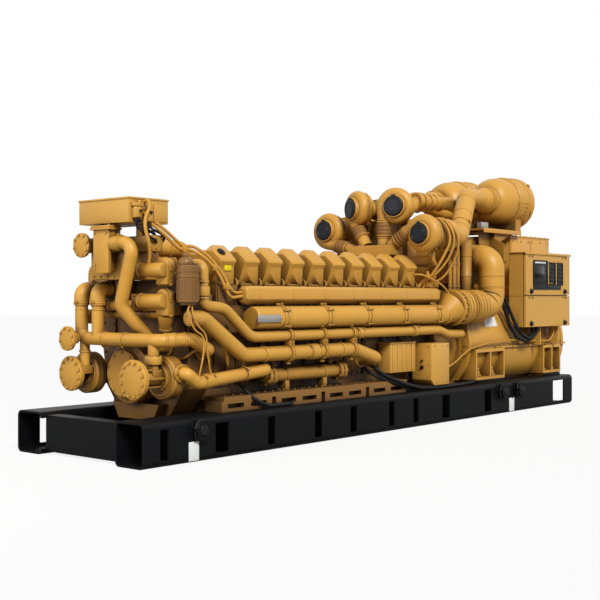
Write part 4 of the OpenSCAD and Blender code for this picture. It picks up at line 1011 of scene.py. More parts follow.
def turbocharger(k):
    t = Turbo(k)
    start, end, radius = TURBINES[k]
    bm = bmesh.new()
    path, radii = [], []
    winding, steps = 348, 30  # degrees that the volute winds round, and its stations
    for step in range(steps + 1):
        a = t.leave + math.radians(winding - winding * step / steps)
        path.append((t.centre + t.ray(a) * VOLUTE_R, t.heading(a)))
        radii.append(0.064 + 0.021 * step / steps)
    for along, r in ((0.06, 0.083), (0.12, 0.078), (STUB - 0.10, 0.070)):
        path.append((t.start + t.out * along, t.out))
        radii.append(r)
    sweep(bm, path, radii, 36)
    ring(bm, t.start + t.out * (STUB - 0.105), t.out, 0.066, 0.084, 0.016, 0.004)
    # inlet lip, cover, bearing housing and turbine, turned round the shaft
    casing = [(start - 0.05, 0.105), (start - 0.02, radius - 0.06), (start, radius - 0.025),
              (start + 0.03, radius - 0.006), (start + 0.07, radius), (end - 0.07, radius),
              (end - 0.03, radius - 0.008), (end - 0.012, radius - 0.03), (end, radius - 0.05), (end, 0.001)]
    turned(bm, INLET_AND_COVER + casing, t.centre, t.axis, 72)
    clamp(bm, t.centre + t.axis * 0.077, t.axis, 0.203, 0.022, 0.02, (0, -0.6, -1))
    clamp(bm, t.centre + t.axis * (start + 0.01), t.axis, radius - 0.018, 0.02, 0.02, (0, -0.6, -1))
    for q in range(8):
        spot = t.centre + t.ray(math.radians(22 + 45 * q)) * 0.18 + t.axis * 0.095
        bolt(bm, spot, t.axis, 0.009, False)
    # oil feed on top of the bearing housing and drain under it
    middle = t.centre + t.axis * (0.135 + start - 0.05) * 0.5
    bar(bm, middle + UP * 0.09, middle + UP * 0.135, 0.026, sides=16, edge=0.003)
    bar(bm, middle - UP * 0.09, middle - UP * 0.15, 0.034, sides=18, edge=0.003)
    tube(bm, [middle - UP * 0.14, middle - UP * 0.30, middle - UP * 0.36 + t.axis * 0.05], 0.024, 0.06, 14)
    piece("turbo_casting_" + TURBO_NAMES[k], bm, MACHINE, stands_for=("turbo_" + TURBO_NAMES[k],))


for k in range(4):
    turbocharger(k)

# %% Inlet plugs
bm = bmesh.new()
for k in range(4):
    t = Turbo(k)
    turned(bm, [(-0.125, 0.001), (-0.125, 0.070), (-0.119, 0.074), (-0.119, 0.088), (-0.125, 0.092),
                (-0.125, 0.108), (-0.119, 0.1187), (-0.034, 0.1187), (-0.034, 0.001)],
           t.centre, t.axis, 56)
    tab = t.centre + t.axis * -0.122 + UP * 0.122
    turn = Matrix.Rotation(t.turn, 4, "Z")
    block(bm, tab - Vector((0.004, 0.022, 0.014)), tab + Vector((0.004, 0.022, 0.016)), 0.003, turn)
piece("inlet_closures", bm, PLUG, stands_for=("inlet_plugs",))

# %% [markdown]
# A stretch of ribbed silicone joins each volute to its pipe, because hot parts grow by different amounts. It
# is a turned profile with raised ribs, browner than the enamel, with a band clamp at each end.

# %% Compressor outlets
pipes, joints = bmesh.new(), bmesh.new()
joint0, joint1 = STUB - 0.10, STUB + 0.10
joint_outline = [(0, 0.001), (0, 0.082)]
for rib in range(3):
    joint_outline += collar(0.045 + rib * 0.045, 0.077 + rib * 0.045, 0.088, 0.005, 0.008)
joint_outline += [(joint1 - joint0, 0.082), (joint1 - joint0, 0.001)]
for k in range(4):
    t = Turbo(k)
    length = (t.end - t.start).length
    turned(joints, joint_outline, t.start + t.out * joint0, t.out, 40)
    for along in (joint0 + 0.02, joint1 - 0.016):
        clamp(pipes, t.start + t.out * along, t.out, 0.083, 0.014, 0.018, (0.2, -1, 0.2))
    tube(pipes, [t.start + t.out * (joint1 - 0.01), t.start + t.out * (length + 0.02)], 0.075, 0.1, 32)
    ring(pipes, t.start + t.out * (joint1 + 0.012), t.out, 0.07, 0.081, 0.014, 0.003)
piece("outlet_pipes", pipes, MACHINE, stands_for=("compressor_outlets",))
piece("outlet_joints", joints, HOSE_JOINT)

# %% [markdown]
# The exhaust leaves the turbines in welded sheet steel ducts. Their bends are cut from straight lengths and
# welded, so thin seams run round them, and V-band clamps join the flanged ends. The two drums are spun heads
# welded to rolled shells, strapped down on a shelf.

# %% Exhaust ducts
DRUM_Y, DRUM_Z, NECK_Y = 0.362, 2.775, 0.412


def duct_pair(bm, side, height):
    """The duct of an outer turbine, which enters the drum's neck, and that of an inner one beside it."""
    outer = places(side, (1.0755, 0.72, height), (1.29, 0.72, height), (1.96, NECK_Y + 0.02, DRUM_Z),
                   (2.26, NECK_Y, DRUM_Z))
    neck = at(2.40, side * NECK_Y, DRUM_Z)
    tube(bm, outer, 0.124, 0.17, 40)
    tube(bm, [outer[-1], neck], 0.125, 0.1, 48, 0.166)
    run = (outer[2] - outer[1]).normalized()
    seams = [(outer[1].lerp(outer[2], share), run) for share in (0.14, 0.5, 0.86)]
    seams += [(outer[0] + RIGHT * 0.09, LEFT), (neck + LEFT * 0.31, LEFT), (neck + LEFT * 0.16, LEFT)]
    for spot, along in seams:
        ring(bm, spot, along, 0.12, 0.1295, 0.016, 0.004, 48)
    clamp(bm, outer[0] + RIGHT * 0.018, LEFT, 0.126, 0.026, 0.02, (0, side, -0.6))
    clamp(bm, outer[1].lerp(outer[2], 0.27), run, 0.126, 0.022, 0.02, (0, side, 0.3))
    turbo = Turbo(1 if side < 0 else 2)
    inner = [turbo.centre + turbo.axis * 0.4303, turbo.centre + turbo.axis * 0.50]
    inner += places(side, (1.25, 0.165, DRUM_Z - 0.08), (1.90, 0.20, DRUM_Z - 0.075),
                    (2.30, 0.19, DRUM_Z - 0.15), (2.56, 0.19, DRUM_Z - 0.15))
    tube(bm, inner, 0.085, 0.15, 36)
    tube(bm, [inner[2] + LEFT * 0.08, inner[2] + Vector((0.45, side * -0.02, 0.002))], 0.098, 0.1, 36)
    for x, r in ((1.17, 0.102), (1.42, 0.101), (1.54, 0.103), (1.70, 0.103)):
        ring(bm, at(x, side * 0.17, DRUM_Z - 0.08), LEFT, 0.08, r + 0.004, 0.014, 0.004, 40)
    clamp(bm, at(1.29, side * 0.167, DRUM_Z - 0.08), LEFT, 0.099, 0.03, 0.02, (0, side, -0.6))
    clamp(bm, turbo.centre + turbo.axis * 0.447, turbo.axis, 0.093, 0.024, 0.018, (0, side, -0.6))


bm = bmesh.new()
duct_pair(bm, -1, 2.23)
duct_pair(bm, 1, 2.32)
piece("duct_work", bm, MACHINE, stands_for=("exhaust_ducts",))


# %% Exhaust drums
def drum(side, name):
    bm = bmesh.new()
    outline = [(0, 0.001)]
    for k in range(13):
        a = math.radians(7.5 * k)
        outline.append((0.28 - 0.28 * math.cos(a), 0.17 + 0.15 * math.sin(a)))
    outline += collar(0.30, 0.32, 0.3245, 0.0045)
    outline += [(0.362, 0.320), (0.368, 0.334), (0.376, 0.340), *collar(0.44, 0.454, 0.3365, -0.0035),
                (0.60, 0.340), (0.606, 0.350), (0.63, 0.354), (0.636, 0.347), (0.650, 0.347), (0.656, 0.354),
                (0.716, 0.354), (0.724, 0.346), (0.73, 0.33), (0.73, 0.001)]
    turned(bm, outline, at(2.52, side * DRUM_Y, DRUM_Z), RIGHT, 96)
    turned(bm, [(0, 0.001), (0, 0.176), (0.006, 0.18), (0.02, 0.18), (0.024, 0.172), (0.03, 0.172),
                (0.034, 0.18), (0.048, 0.18), (0.052, 0.168), (0.20, 0.168), (0.20, 0.001)],
           at(2.40, side * NECK_Y, DRUM_Z), RIGHT, 64)
    # lap seam along the shell, clamp lugs, lifting eye and straps with their bolts
    side_block(bm, side, (2.90, DRUM_Y - 0.012, DRUM_Z + 0.338),
               (3.12, DRUM_Y + 0.012, DRUM_Z + 0.343), 0.002)
    for a in (200, 340):
        lug = at(3.163, side * DRUM_Y, DRUM_Z) + spoke(a) * 0.36
        bar(bm, lug - UP * 0.03, lug + UP * 0.03, 0.012, sides=10)
    eye = at(3.19, side * DRUM_Y, DRUM_Z) + Vector((0, side * 0.77, 0.64)) * 0.358
    ring(bm, eye, RIGHT, 0.011, 0.027, 0.012, 0.003, 24)
    for x in (2.93, 2.995):
        strap = at(x, side * DRUM_Y, DRUM_Z)
        ring(bm, strap, LEFT, 0.33, 0.3435, 0.03, 0.002, 96)
        for a in (215, 325):
            bolt(bm, strap + spoke(a) * 0.343, spoke(a), 0.010)
    # rows of rivets over the joint of the shell, low on the outer side
    for k in range(5):
        out = spoke(-4 - 9 * k, side)
        for x, r in ((2.86, 0.340), (2.905, 0.340), (3.035, 0.343), (3.075, 0.343)):
            bolt(bm, at(x, side * DRUM_Y, DRUM_Z) + out * r, out, 0.006)
    piece("muffler_drum_" + name, bm, MACHINE, stands_for=("exhaust_drum_" + name,))


drum(-1, "near")
drum(1, "far")

# %% [markdown]
# From each manifold the charge air turns up to the aftercooler. A cast cone widens the pipe, a ribbed bellows
# takes up movement, and a fat elbow of welded pieces leads up and in. The bellows has two groups of ribs
# with a band clamp between them.

# %% Charge air elbows
ELBOW_X, ELBOW_Y, ELBOW_LOW, ELBOW_HIGH, ELBOW_FAT, ELBOW_BEND = 1.99, 0.775, 1.372, 1.99, 0.165, 0.23
COOLER_WALL = 0.4403  # the aftercooler's side
BELLOWS = [(0, 0.001), (0, 0.206), (0.006, 0.219), (0.022, 0.222), (0.028, 0.196), (0.086, 0.196),
           (0.092, 0.219), (0.108, 0.219), (0.114, 0.198)]
for rib in (0.128, 0.192):
    BELLOWS += collar(rib, rib + 0.054, 0.213, 0.015, 0.008)
BELLOWS += [(0.27, 0.194), (0.276, 0.212), (0.29, 0.212), (0.296, 0.188), (0.33, 0.188), (0.336, 0.208),
            (0.35, 0.208), (0.356, 0.19)]
for rib in (0.372, 0.436, 0.50):
    BELLOWS += collar(rib, rib + 0.052, 0.206, 0.016, 0.008)
BELLOWS += [(0.572, 0.186), (0.578, 0.196), (0.60, 0.196), (0.606, 0.17), (0.606, 0.001)]


def charge_elbow(bm, side):
    manifold_end = at(0.93, side * MANIFOLD_Y, MANIFOLD_Z)
    ring(bm, manifold_end, LEFT, 0.11, 0.131, 0.034, 0.005, 48)
    cone_y, cone_z = side * (MANIFOLD_Y + 0.02), ELBOW_LOW - 0.02
    cone_end = at(1.08, cone_y, cone_z)
    tube(bm, [manifold_end + RIGHT * 0.005, cone_end], 0.122, 0.2, 56, 0.206)
    turned(bm, BELLOWS, cone_end, at(1.686, side * ELBOW_Y, ELBOW_LOW) - cone_end, 72)
    # tie rods round both groups of ribs
    for x0, x1, radius in ((1.098, 1.176, 0.208), (1.36, 1.42, 0.199)):
        for k in range(18):
            out = spoke(20 * k) * radius
            bar(bm, at(x0, cone_y, cone_z) + out, at(x1, cone_y, cone_z + 0.003) + out, 0.008, sides=8)
    tube(bm, places(side, (1.6403, ELBOW_Y, ELBOW_LOW), (ELBOW_X, ELBOW_Y, ELBOW_LOW),
                    (ELBOW_X, ELBOW_Y, ELBOW_HIGH), (ELBOW_X, COOLER_WALL, ELBOW_HIGH)),
         ELBOW_FAT, ELBOW_BEND, 48)
    for z in (1.62, 1.75):
        ring(bm, at(ELBOW_X, side * ELBOW_Y, z), UP, 0.16, 0.1695, 0.014, 0.004, 56)
    # weld seams round both bends
    lower = at(ELBOW_X - ELBOW_BEND, side * ELBOW_Y, ELBOW_LOW + ELBOW_BEND)
    upper = at(ELBOW_X, side * (ELBOW_Y - ELBOW_BEND), ELBOW_HIGH - ELBOW_BEND)
    for a in (0, 30, 60, 90):
        c, s = math.cos(math.radians(a)), math.sin(math.radians(a))
        for centre, reach, along in ((lower, Vector((s, 0, -c)), Vector((c, 0, s))),
                                     (upper, Vector((0, side * c, s)), Vector((0, -side * s, c)))):
            ring(bm, centre + reach * ELBOW_BEND, along, 0.16, 0.1685, 0.010, 0.004, 56)
    clamp(bm, at(ELBOW_X, side * 0.50, ELBOW_HIGH), NEAR, 0.167, 0.024, 0.022, (-0.6, 0, 1))


bm = bmesh.new()
charge_elbow(bm, -1)
charge_elbow(bm, 1)
piece("charge_air_bends", bm, MACHINE, stands_for=("charge_air_elbows",))

# %% [markdown]
# The control cabinet is folded sheet steel with two top-hung doors. What makes a cabinet read as sheet metal
# is thin: a dark gap round each door, turned edges, latches and rivets. The doors ride on their own bodies,
# so whatever sits on a door is a separate piece that rides with it.

# %% Cabinet trim
DOOR_Y, CAB_X0, CAB_X1, CAB_Z0, CAB_Z1, SPLIT_Z = -0.96, 2.535, 3.775, 1.092, 2.077, 1.512


def margin(bm, x0, x1, z0, z1, width, out, back, edge):
    """Four strips along the edges of a rectangle on a door, from y = out to y = back."""
    for low_x, low_z, high_x, high_z in ((x0, z0, x1, z0 + width), (x0, z1 - width, x1, z1),
                                         (x0, z0, x0 + width, z1), (x1 - width, z0, x1, z1)):
        block(bm, at(low_x, out, low_z), at(high_x, back, high_z), edge)


def door_trim(name, body, low_z, high_z):
    """Raised margin strips and corner screws of one door."""
    bm = bmesh.new()
    margin(bm, CAB_X0 + 0.004, CAB_X1 - 0.004, low_z + 0.004, high_z - 0.004, 0.008, DOOR_Y - 0.003,
           DOOR_Y + 0.001, 0.001)
    for x, z in product((CAB_X0 + 0.05, CAB_X1 - 0.05), (low_z + 0.05, high_z - 0.1)):
        bar(bm, at(x, DOOR_Y + 0.001, z), at(x, DOOR_Y - 0.005, z), 0.008, sides=14, edge=0.002)
    piece(name, bm, SHEET, body=body)


door_trim("upper_door_trim", UPPER_DOOR, SPLIT_Z, 2.044)
door_trim("lower_door_trim", LOWER_DOOR, CAB_Z0, 1.499)

# %% Controller panels
# one screen and two relay panels, parted by yellow strips, each with its own bezel
panel_z0, panel_z1, face = SPLIT_Z + 0.14, SPLIT_Z + 0.43, DOOR_Y - 0.004
strip_z0, screen_z1 = SPLIT_Z + 0.075, SPLIT_Z + 0.462
back = face + 0.001
bm = bmesh.new()
block(bm, at(2.745, face - 0.003, strip_z0), at(3.125, face + 0.003, screen_z1), 0.001)
block(bm, at(2.745, face - 0.005, strip_z0), at(3.51, face + 0.003, panel_z0 - 0.012), 0.002)
margin(bm, 2.745, 3.125, strip_z0, screen_z1, 0.012, face - 0.009, back, 0.002)
for k in range(6):
    x, z = 2.80 + k * 0.05, panel_z0 + 0.045
    bar(bm, at(x, back, z), at(x, face - 0.007, z), 0.012, sides=16, edge=0.002)
for x in (3.165, 3.385):
    margin(bm, x, x + 0.18, panel_z0, panel_z1 + 0.012, 0.012, face - 0.009, back, 0.002)
    for z in (panel_z0 + 0.04 + k * 0.055 for k in range(4)):
        block(bm, at(x + 0.03, face - 0.006, z), at(x + 0.15, back, z + 0.038), 0.003)
piece("controller_bezels", bm, CONTROLLER, body=UPPER_DOOR)
bm = bmesh.new()
block(bm, at(2.775, face - 0.004, panel_z0 + 0.085), at(3.04, back, panel_z1 - 0.045), 0.002)
piece("controller_screen", bm, SCREEN, body=UPPER_DOOR)
bm = bmesh.new()
block(bm, at(2.78, face - 0.0055, panel_z1 - 0.008), at(3.07, back, panel_z1 + 0.012), 0.001)
piece("controller_bare_strip", bm, WHITE_TAG, body=UPPER_DOOR)
bm = bmesh.new()
for x in (3.145, 3.365):
    block(bm, at(x - 0.009, face - 0.010, panel_z0), at(x + 0.009, back, panel_z1), 0.002)
for x in (3.18, 3.24):
    knob = at(x, back, panel_z0 + 0.02)
    bar(bm, knob, knob + NEAR * 0.013, 0.008, sides=12, edge=0.001)
piece("panel_dividers", bm, SHEET, body=UPPER_DOOR)

# %% Door latches
for name, body, z in (("upper", UPPER_DOOR, SPLIT_Z + 0.05), ("lower", LOWER_DOOR, CAB_Z0 + 0.045)):
    bm = bmesh.new()
    for x in (CAB_X0 + 0.15, CAB_X1 - 0.15):
        knob = at(x, DOOR_Y, z)
        turned(bm, [(0, 0.001), (0, 0.034), (0.006, 0.036), (0.012, 0.030), (0.016, 0.024), (0.026, 0.022),
                    (0.030, 0.018), (0.030, 0.001)], knob - NEAR * 0.001, NEAR, 28)
        block(bm, knob - Vector((0.006, 0.036, 0.026)), knob + Vector((0.006, -0.026, 0.026)), 0.003)
    piece(name + "_latch_knobs", bm, LATCH, body=body,
          stands_for=(name + "_latches",))

# %% Cabinet body: seams, lip, rivets and side louvres
bm = bmesh.new()
for z in (CAB_Z0 + 0.008, SPLIT_Z - 0.014, CAB_Z1 - 0.03):
    block(bm, at(CAB_X0 - 0.003, -0.92, z), at(CAB_X0 + 0.001, -0.722, z + 0.010), 0.001)
for k, y, (x, out) in product(range(6), (-0.90, -0.745), ((CAB_X0, LEFT), (CAB_X1, RIGHT))):
    rivet = at(x, y, CAB_Z0 + 0.07 + k * 0.165)
    bar(bm, rivet - out * 0.001, rivet + out * 0.004, 0.007, sides=12, edge=0.001)
block(bm, at(CAB_X0 - 0.018, DOOR_Y - 0.011, CAB_Z1 - 0.03),
      at(CAB_X1 + 0.027, DOOR_Y - 0.0075, CAB_Z1 - 0.001), 0.001)
for z in (1.30 + k * 0.035 for k in range(9)):
    block(bm, at(CAB_X1 - 0.001, -0.88, z), at(CAB_X1 + 0.008, -0.77, z + 0.015), 0.003)
piece("cabinet_seams", bm, SHEET)

# %% Terminal box: lid, seams and bolts
TERMINAL_X0, TERMINAL_X1 = 2.90, 3.99
bm = bmesh.new()
block(bm, at(TERMINAL_X0 - 0.008, -0.538, 2.308), at(TERMINAL_X1 + 0.004, 0.538, 2.326), 0.003)
for side in (-1, 1):
    for x0, x1 in ((TERMINAL_X0 + 0.02, TERMINAL_X0 + 0.52), (TERMINAL_X0 + 0.56, TERMINAL_X1 - 0.02)):
        side_block(bm, side, (x0, 0.530, 1.56), (x1, 0.536, 2.28), 0.002)
        bolt_grid(bm, Vector((0, side, 0)), 0.010, (x0 + 0.03, (x0 + x1) / 2, x1 - 0.03), (side * 0.535,),
                  (1.59, 1.92, 2.25))
for (x, out), y in product(((TERMINAL_X0 - 0.0001, LEFT), (TERMINAL_X1 + 0.0001, RIGHT)), (-0.26, 0.26)):
    block(bm, at(x - 0.006, y - 0.24, 1.66), at(x + 0.006, y + 0.24, 2.28), 0.002)
    bolt_grid(bm, out, 0.010, (x + out.x * 0.005,), (y - 0.21, y + 0.21), (1.69, 1.97, 2.25))
bolt_grid(bm, UP, 0.009, [TERMINAL_X0 + 0.05 + k * 0.14 for k in range(8)], (-0.50, 0.50), (2.325,))
piece("terminal_box_covers", bm, SHEET)

# %% [markdown]
# The alternator's frame is rolled plate closed by machined end rings, with welded hoops between. Rings, air
# louvres at the far end and hexagon bolts give the bare cylinder its scale. Its cast feet stand on packs of
# black shims under big hold down bolts.

# %% Alternator details
SHAFT_Z, BARREL_R = 0.885, 0.74


@apart
def hoop(bm, x, width, rise):
    """A ring round the upper part of the barrel, cut off level above the feet."""
    ring(bm, at(x, 0, SHAFT_Z), LEFT, BARREL_R - 0.01, BARREL_R + rise, width, 0.003, 72)
    everything = bm.verts[:] + bm.edges[:] + bm.faces[:]
    bmesh.ops.bisect_plane(bm, geom=everything, plane_co=(0, 0, 0.81), plane_no=UP, clear_inner=True)
    bmesh.ops.holes_fill(bm, edges=[e for e in bm.edges if e.is_boundary], sides=8)
    bmesh.ops.recalc_face_normals(bm, faces=bm.faces)


bm = bmesh.new()
for x, width, rise in ((1.52, 0.03, 0.012), (1.60, 0.012, 0.004), (2.36, 0.012, 0.004), (2.72, 0.014, 0.005),
                       (3.30, 0.012, 0.004), (3.86, 0.012, 0.004), (3.96, 0.03, 0.010)):
    hoop(bm, x, width, rise)
for a in range(-10, 191, 10):
    bolt(bm, at(1.5, 0, SHAFT_Z) + spoke(a) * 0.70, LEFT, 0.013)
    bolt(bm, at(4.02, 0, SHAFT_Z) + spoke(a) * 0.69, RIGHT, 0.011, False)
# louvres, as wide as the end cover is at their height
for k in range(14):
    z = 0.50 + k * 0.05
    half = math.sqrt(max(0.01, 0.62 ** 2 - (z - SHAFT_Z) ** 2)) * 0.7
    block(bm, at(4.058, -half, z), at(4.068, half, z + 0.022))
bar(bm, at(4.05, 0, SHAFT_Z + 0.45), at(4.066, 0, SHAFT_Z + 0.45), 0.1, sides=40, edge=0.004)
for side in (-1, 1):
    for x in (1.66, 2.10, 2.55, 2.98, 3.42, 3.88):
        bolt(bm, at(x, side * 0.765, 0.842), Vector((0, side, 0)), 0.011)
    for x in (1.762, 2.098, 3.452, 3.688):
        foot = at(x, side * 0.71, 0.48)
        for z0, z1, r, sides, edge in ((0, 0.025, 0.045, 24, 0.003), (0.02, 0.065, 0.030, 6, 0.003),
                                       (0.06, 0.11, 0.017, 14, 0.002)):
            bar(bm, foot + UP * z0, foot + UP * z1, r, sides=sides, edge=edge)
piece("alternator_rings_and_bolts", bm, MACHINE)
bm = bmesh.new()
for side, (x0, x1), k in product((-1, 1), ((1.60, 2.26), (3.34, 3.80)), range(3)):
    odd, z = k % 2, k * 0.014  # every second shim is cut a little shorter and wider
    side_block(bm, side, (x0 + 0.01 * odd, 0.60, 0.4005 + z),
               (x1 - 0.01 * odd, 0.806 + 0.003 * odd, 0.412 + z), 0.001)
piece("foot_shims", bm, FRAME_BLACK)
# bare plate on the upper front of the frame, bent to the barrel
bm = bmesh.new()
for v in bmesh.ops.create_grid(bm, x_segments=2, y_segments=12, size=0.5)["verts"]:
    v.co = at(2.10 + v.co.x * 0.30, 0, SHAFT_Z) + spoke(156 + 13 * v.co.y) * (BARREL_R + 0.004)
bmesh.ops.solidify(bm, geom=bm.faces[:], thickness=0.003)
piece("frame_plate", bm, WHITE_TAG)

# %% [markdown]
# Round lifting points stand on the frame's sides: a pipe stub with an outer disc that keeps the sling on. A
# black rubber pad hangs from each, and a blank white tag from two of every three.

# %% Lifting points and tags
LIFT_Y, LIFT_Z = 0.91, 0.29
LIFT_PROFILE = [(0, 0.001), (0, 0.075), (0.004, 0.078), (0.008, 0.062), (0.056, 0.062), (0.058, 0.088),
                (0.062, 0.092), (0.076, 0.092), (0.08, 0.088), (0.08, 0.056), (0.07, 0.05), (0.07, 0.001)]
PAD_LOOP = ((-0.075, 0.30), (-0.04, 0.372), (0.04, 0.372), (0.075, 0.30), (0.07, 0.21), (-0.07, 0.21),
            (-0.075, 0.29))
discs, pads, tags = bmesh.new(), bmesh.new(), bmesh.new()
for side, (x, tag_x) in product((-1, 1), ((-3.30, -3.368), (2.0, None), (2.42, 2.256))):
    out = Vector((0, side, 0))
    turned(discs, LIFT_PROFILE, at(x, side * LIFT_Y, LIFT_Z), out, 44)
    side_block(discs, side, (x - 0.105, LIFT_Y, 0.175), (x + 0.105, LIFT_Y + 0.008, 0.385), 0.003)
    tube(pads, places(side, *[(x + dx, LIFT_Y + 0.034, z) for dx, z in PAD_LOOP]), 0.016, 0.04, 12)
    turned(pads, [(0, 0.001), (0, 0.05), (0.006, 0.054), (0.018, 0.046), (0.022, 0.001)],
           at(x, side * (LIFT_Y + 0.069), LIFT_Z), out, 32)
    if tag_x:
        side_block(tags, side, (tag_x - 0.062, LIFT_Y + 0.004, 0.02),
                   (tag_x + 0.062, LIFT_Y + 0.009, 0.19), 0.001)
        pin = places(side, (tag_x, LIFT_Y + 0.003, 0.178), (tag_x, LIFT_Y + 0.012, 0.178))
        bar(tags, *pin, 0.007, sides=10)
        tube(pads, [pin[1], *places(side, (tag_x + 0.02, LIFT_Y + 0.02, 0.20),
                                    (x - 0.06, LIFT_Y + 0.034, 0.215))], 0.003, 0.02, 8)
piece("lifting_discs", discs, FRAME_BLACK, stands_for=("lifting_posts",))
piece("lifting_pads", pads, RUBBER)
piece("bare_tags", tags, WHITE_TAG)

# %% Junction boxes
bm = bmesh.new()
block(bm, at(-0.10, -0.70, 0.62), at(0.40, -BLOCK_Y, 0.96))
for k in range(5):
    block(bm, at(-0.06 + k * 0.095, -0.706, 0.64), at(-0.02 + k * 0.095, -0.699, 0.945), 0.003)
block(bm, at(-0.108, -0.706, 0.948), at(0.408, -BLOCK_Y, 0.966), 0.003)
front = [(0.545, 0.45), (0.86, 0.45), (0.86, 0.94), (0.48, 0.94), (0.48, 0.515)]
prism(bm, [at(x, -0.87, z) for x, z in front], (0, 0.27, 0), 0.005)
block(bm, at(0.56, -0.601, 0.60), at(0.77, -0.5003, 0.90))
for x, z in ((0.55, 0.91), (0.83, 0.91), (0.60, 0.48), (0.83, 0.48)):
    bolt(bm, at(x, -0.87, z), NEAR, 0.008)
bolt_grid(bm, LEFT, 0.008, (0.48,), (-0.64, -0.83), (0.545, 0.70, 0.905), False)
piece("box_castings", bm, SHEET, stands_for=("junction_boxes",))
bm = bmesh.new()
for z, r in ((0.735, 0.013), (0.66, 0.021)):
    bar(bm, at(0.481, -0.74, z), at(0.462, -0.74, z), r, sides=24, edge=0.003)
piece("box_push_buttons", bm, LATCH)

# %% [markdown]
# What is left is the small stuff that makes a machine look real: the bolts of covers and flanges, oil and
# air lines. Lines are bent tube in a loose curve, drawn as a route with wide bends; they begin and end in a
# fitting or a housing, never in the air.

# %% Bolts on the block and the front cover
bm = bmesh.new()
for side in (-1, 1):
    out = Vector((0, side, 0))
    for k in range(10):
        x = BANK_X0 + (k + 0.5) * PITCH
        side_block(bm, side, (x - 0.105, 0.518, 0.645), (x + 0.105, 0.534, 0.995), 0.008)
        bolt_grid(bm, out, 0.010, (x - 0.118, x + 0.118), (side * 0.519,), (0.635, 0.82, 1.005))
        bolt_grid(bm, out, 0.010, (x,), (side * 0.519,), (0.632, 1.008))
        bolt(bm, at(x, side * 0.5995, 1.20), out, 0.016)
        bar(bm, *places(side, (x - 0.1, 0.545, 0.435), (x - 0.1, 0.545, 0.47)), 0.016, sides=6)
        side_block(bm, side, (x - 0.13, 0.598, 1.41), (x + 0.13, 0.612, 1.585), 0.005)
    for x in (-2.76 + k * 0.112 for k in range(26)):
        bar(bm, at(x, side * 0.70, 0.539), at(x, side * 0.70, 0.556), 0.012, sides=6)
    bolt(bm, at(-3.15, side * 0.53, 0.70), LEFT, 0.011)
    bolt_grid(bm, LEFT, 0.011, (-3.15,), (side * 0.575,), (0.82, 0.94, 1.06, 1.18, 1.30, 1.42))
    side_block(bm, side, (-3.176, 0.40, 1.06), (-3.149, 0.58, 1.38), 0.010)
    bolt_grid(bm, LEFT, 0.010, (-3.175,), (side * 0.42, side * 0.56), (1.08, 1.22, 1.36))
for a in range(0, 360, 20):
    bolt(bm, at(-3.24, 0, DAMPER_Z) + spoke(a) * 0.288, LEFT, 0.009)
bolt_grid(bm, LEFT, 0.011, (-3.15,), (-0.36, -0.18, 0.18, 0.36), (1.60,))
# the bolts and covers on the block wear the sump enamel, darkened with painted shade
piece("block_bolts_and_covers", bm, SUMP_PAINTED_SHADE)

# %% Flywheel housing bolts
bm = bmesh.new()
for a in range(-12, 193, 9):
    out = spoke(a)
    bolt(bm, at(0.99, 0, SHAFT_Z) + out * 0.6, out, 0.012, False)
    bolt(bm, at(1.48, 0, SHAFT_Z) + out * 0.652, out, 0.012, False)
piece("flywheel_housing_bolts", bm, CASTING)

# %% Side coolers
SIDE_COOLER_Z = 0.70
SIDE_COOLER = [(0, 0.001), (0, 0.05), (0.006, 0.06), (0.028, 0.06), *collar(0.03, 0.07, 0.1), (0.072, 0.082),
               (0.088, 0.082), *collar(0.09, 0.13, 0.1), (0.132, 0.072), (1.15, 0.072),
               *collar(1.152, 1.19, 0.1), (1.192, 0.082), (1.208, 0.082), *collar(1.21, 1.25, 0.1),
               (1.252, 0.06), (1.294, 0.06), (1.30, 0.05), (1.30, 0.001)]


def side_cooler(bm, side):
    y, z = side * 0.66, SIDE_COOLER_Z
    turned(bm, SIDE_COOLER, at(-2.20, y, z), RIGHT, 56)
    for start, k in product((-2.17, -1.05), range(10)):
        bolt_line = at(start, y, z) + spoke(36 * k) * 0.09
        for x0, x1, r, sides in ((-0.008, 0.108, 0.007, 8), (-0.014, 0, 0.013, 6), (0.098, 0.112, 0.013, 6)):
            bar(bm, bolt_line + RIGHT * x0, bolt_line + RIGHT * x1, r, sides=sides)
    for x in (-1.9, -1.3):
        block(bm, at(x, y - 0.05, 0.5403), at(x + 0.06, y + 0.05, 0.66), 0.006)
        ring(bm, at(x + 0.03, y, z), RIGHT, 0.07, 0.080, 0.035, 0.003)
        for dy in (-0.036, 0.036):
            bar(bm, at(x - 0.015, y + dy, 0.54), at(x - 0.015, y + dy, 0.56), 0.012, sides=6)
    # stubs up to the lower pipe
    for x in (-2.02, -1.12):
        bar(bm, *places(side, (x, 0.64, z + 0.05), (x, 0.64, 0.86)), 0.028, sides=20, edge=0.003)
        ring(bm, at(x, side * 0.64, 0.80), UP, 0.02, 0.042, 0.02)


bm = bmesh.new()
side_cooler(bm, -1)
side_cooler(bm, 1)
piece("side_cooler_shells", bm, CASTING, stands_for=("side_coolers",))

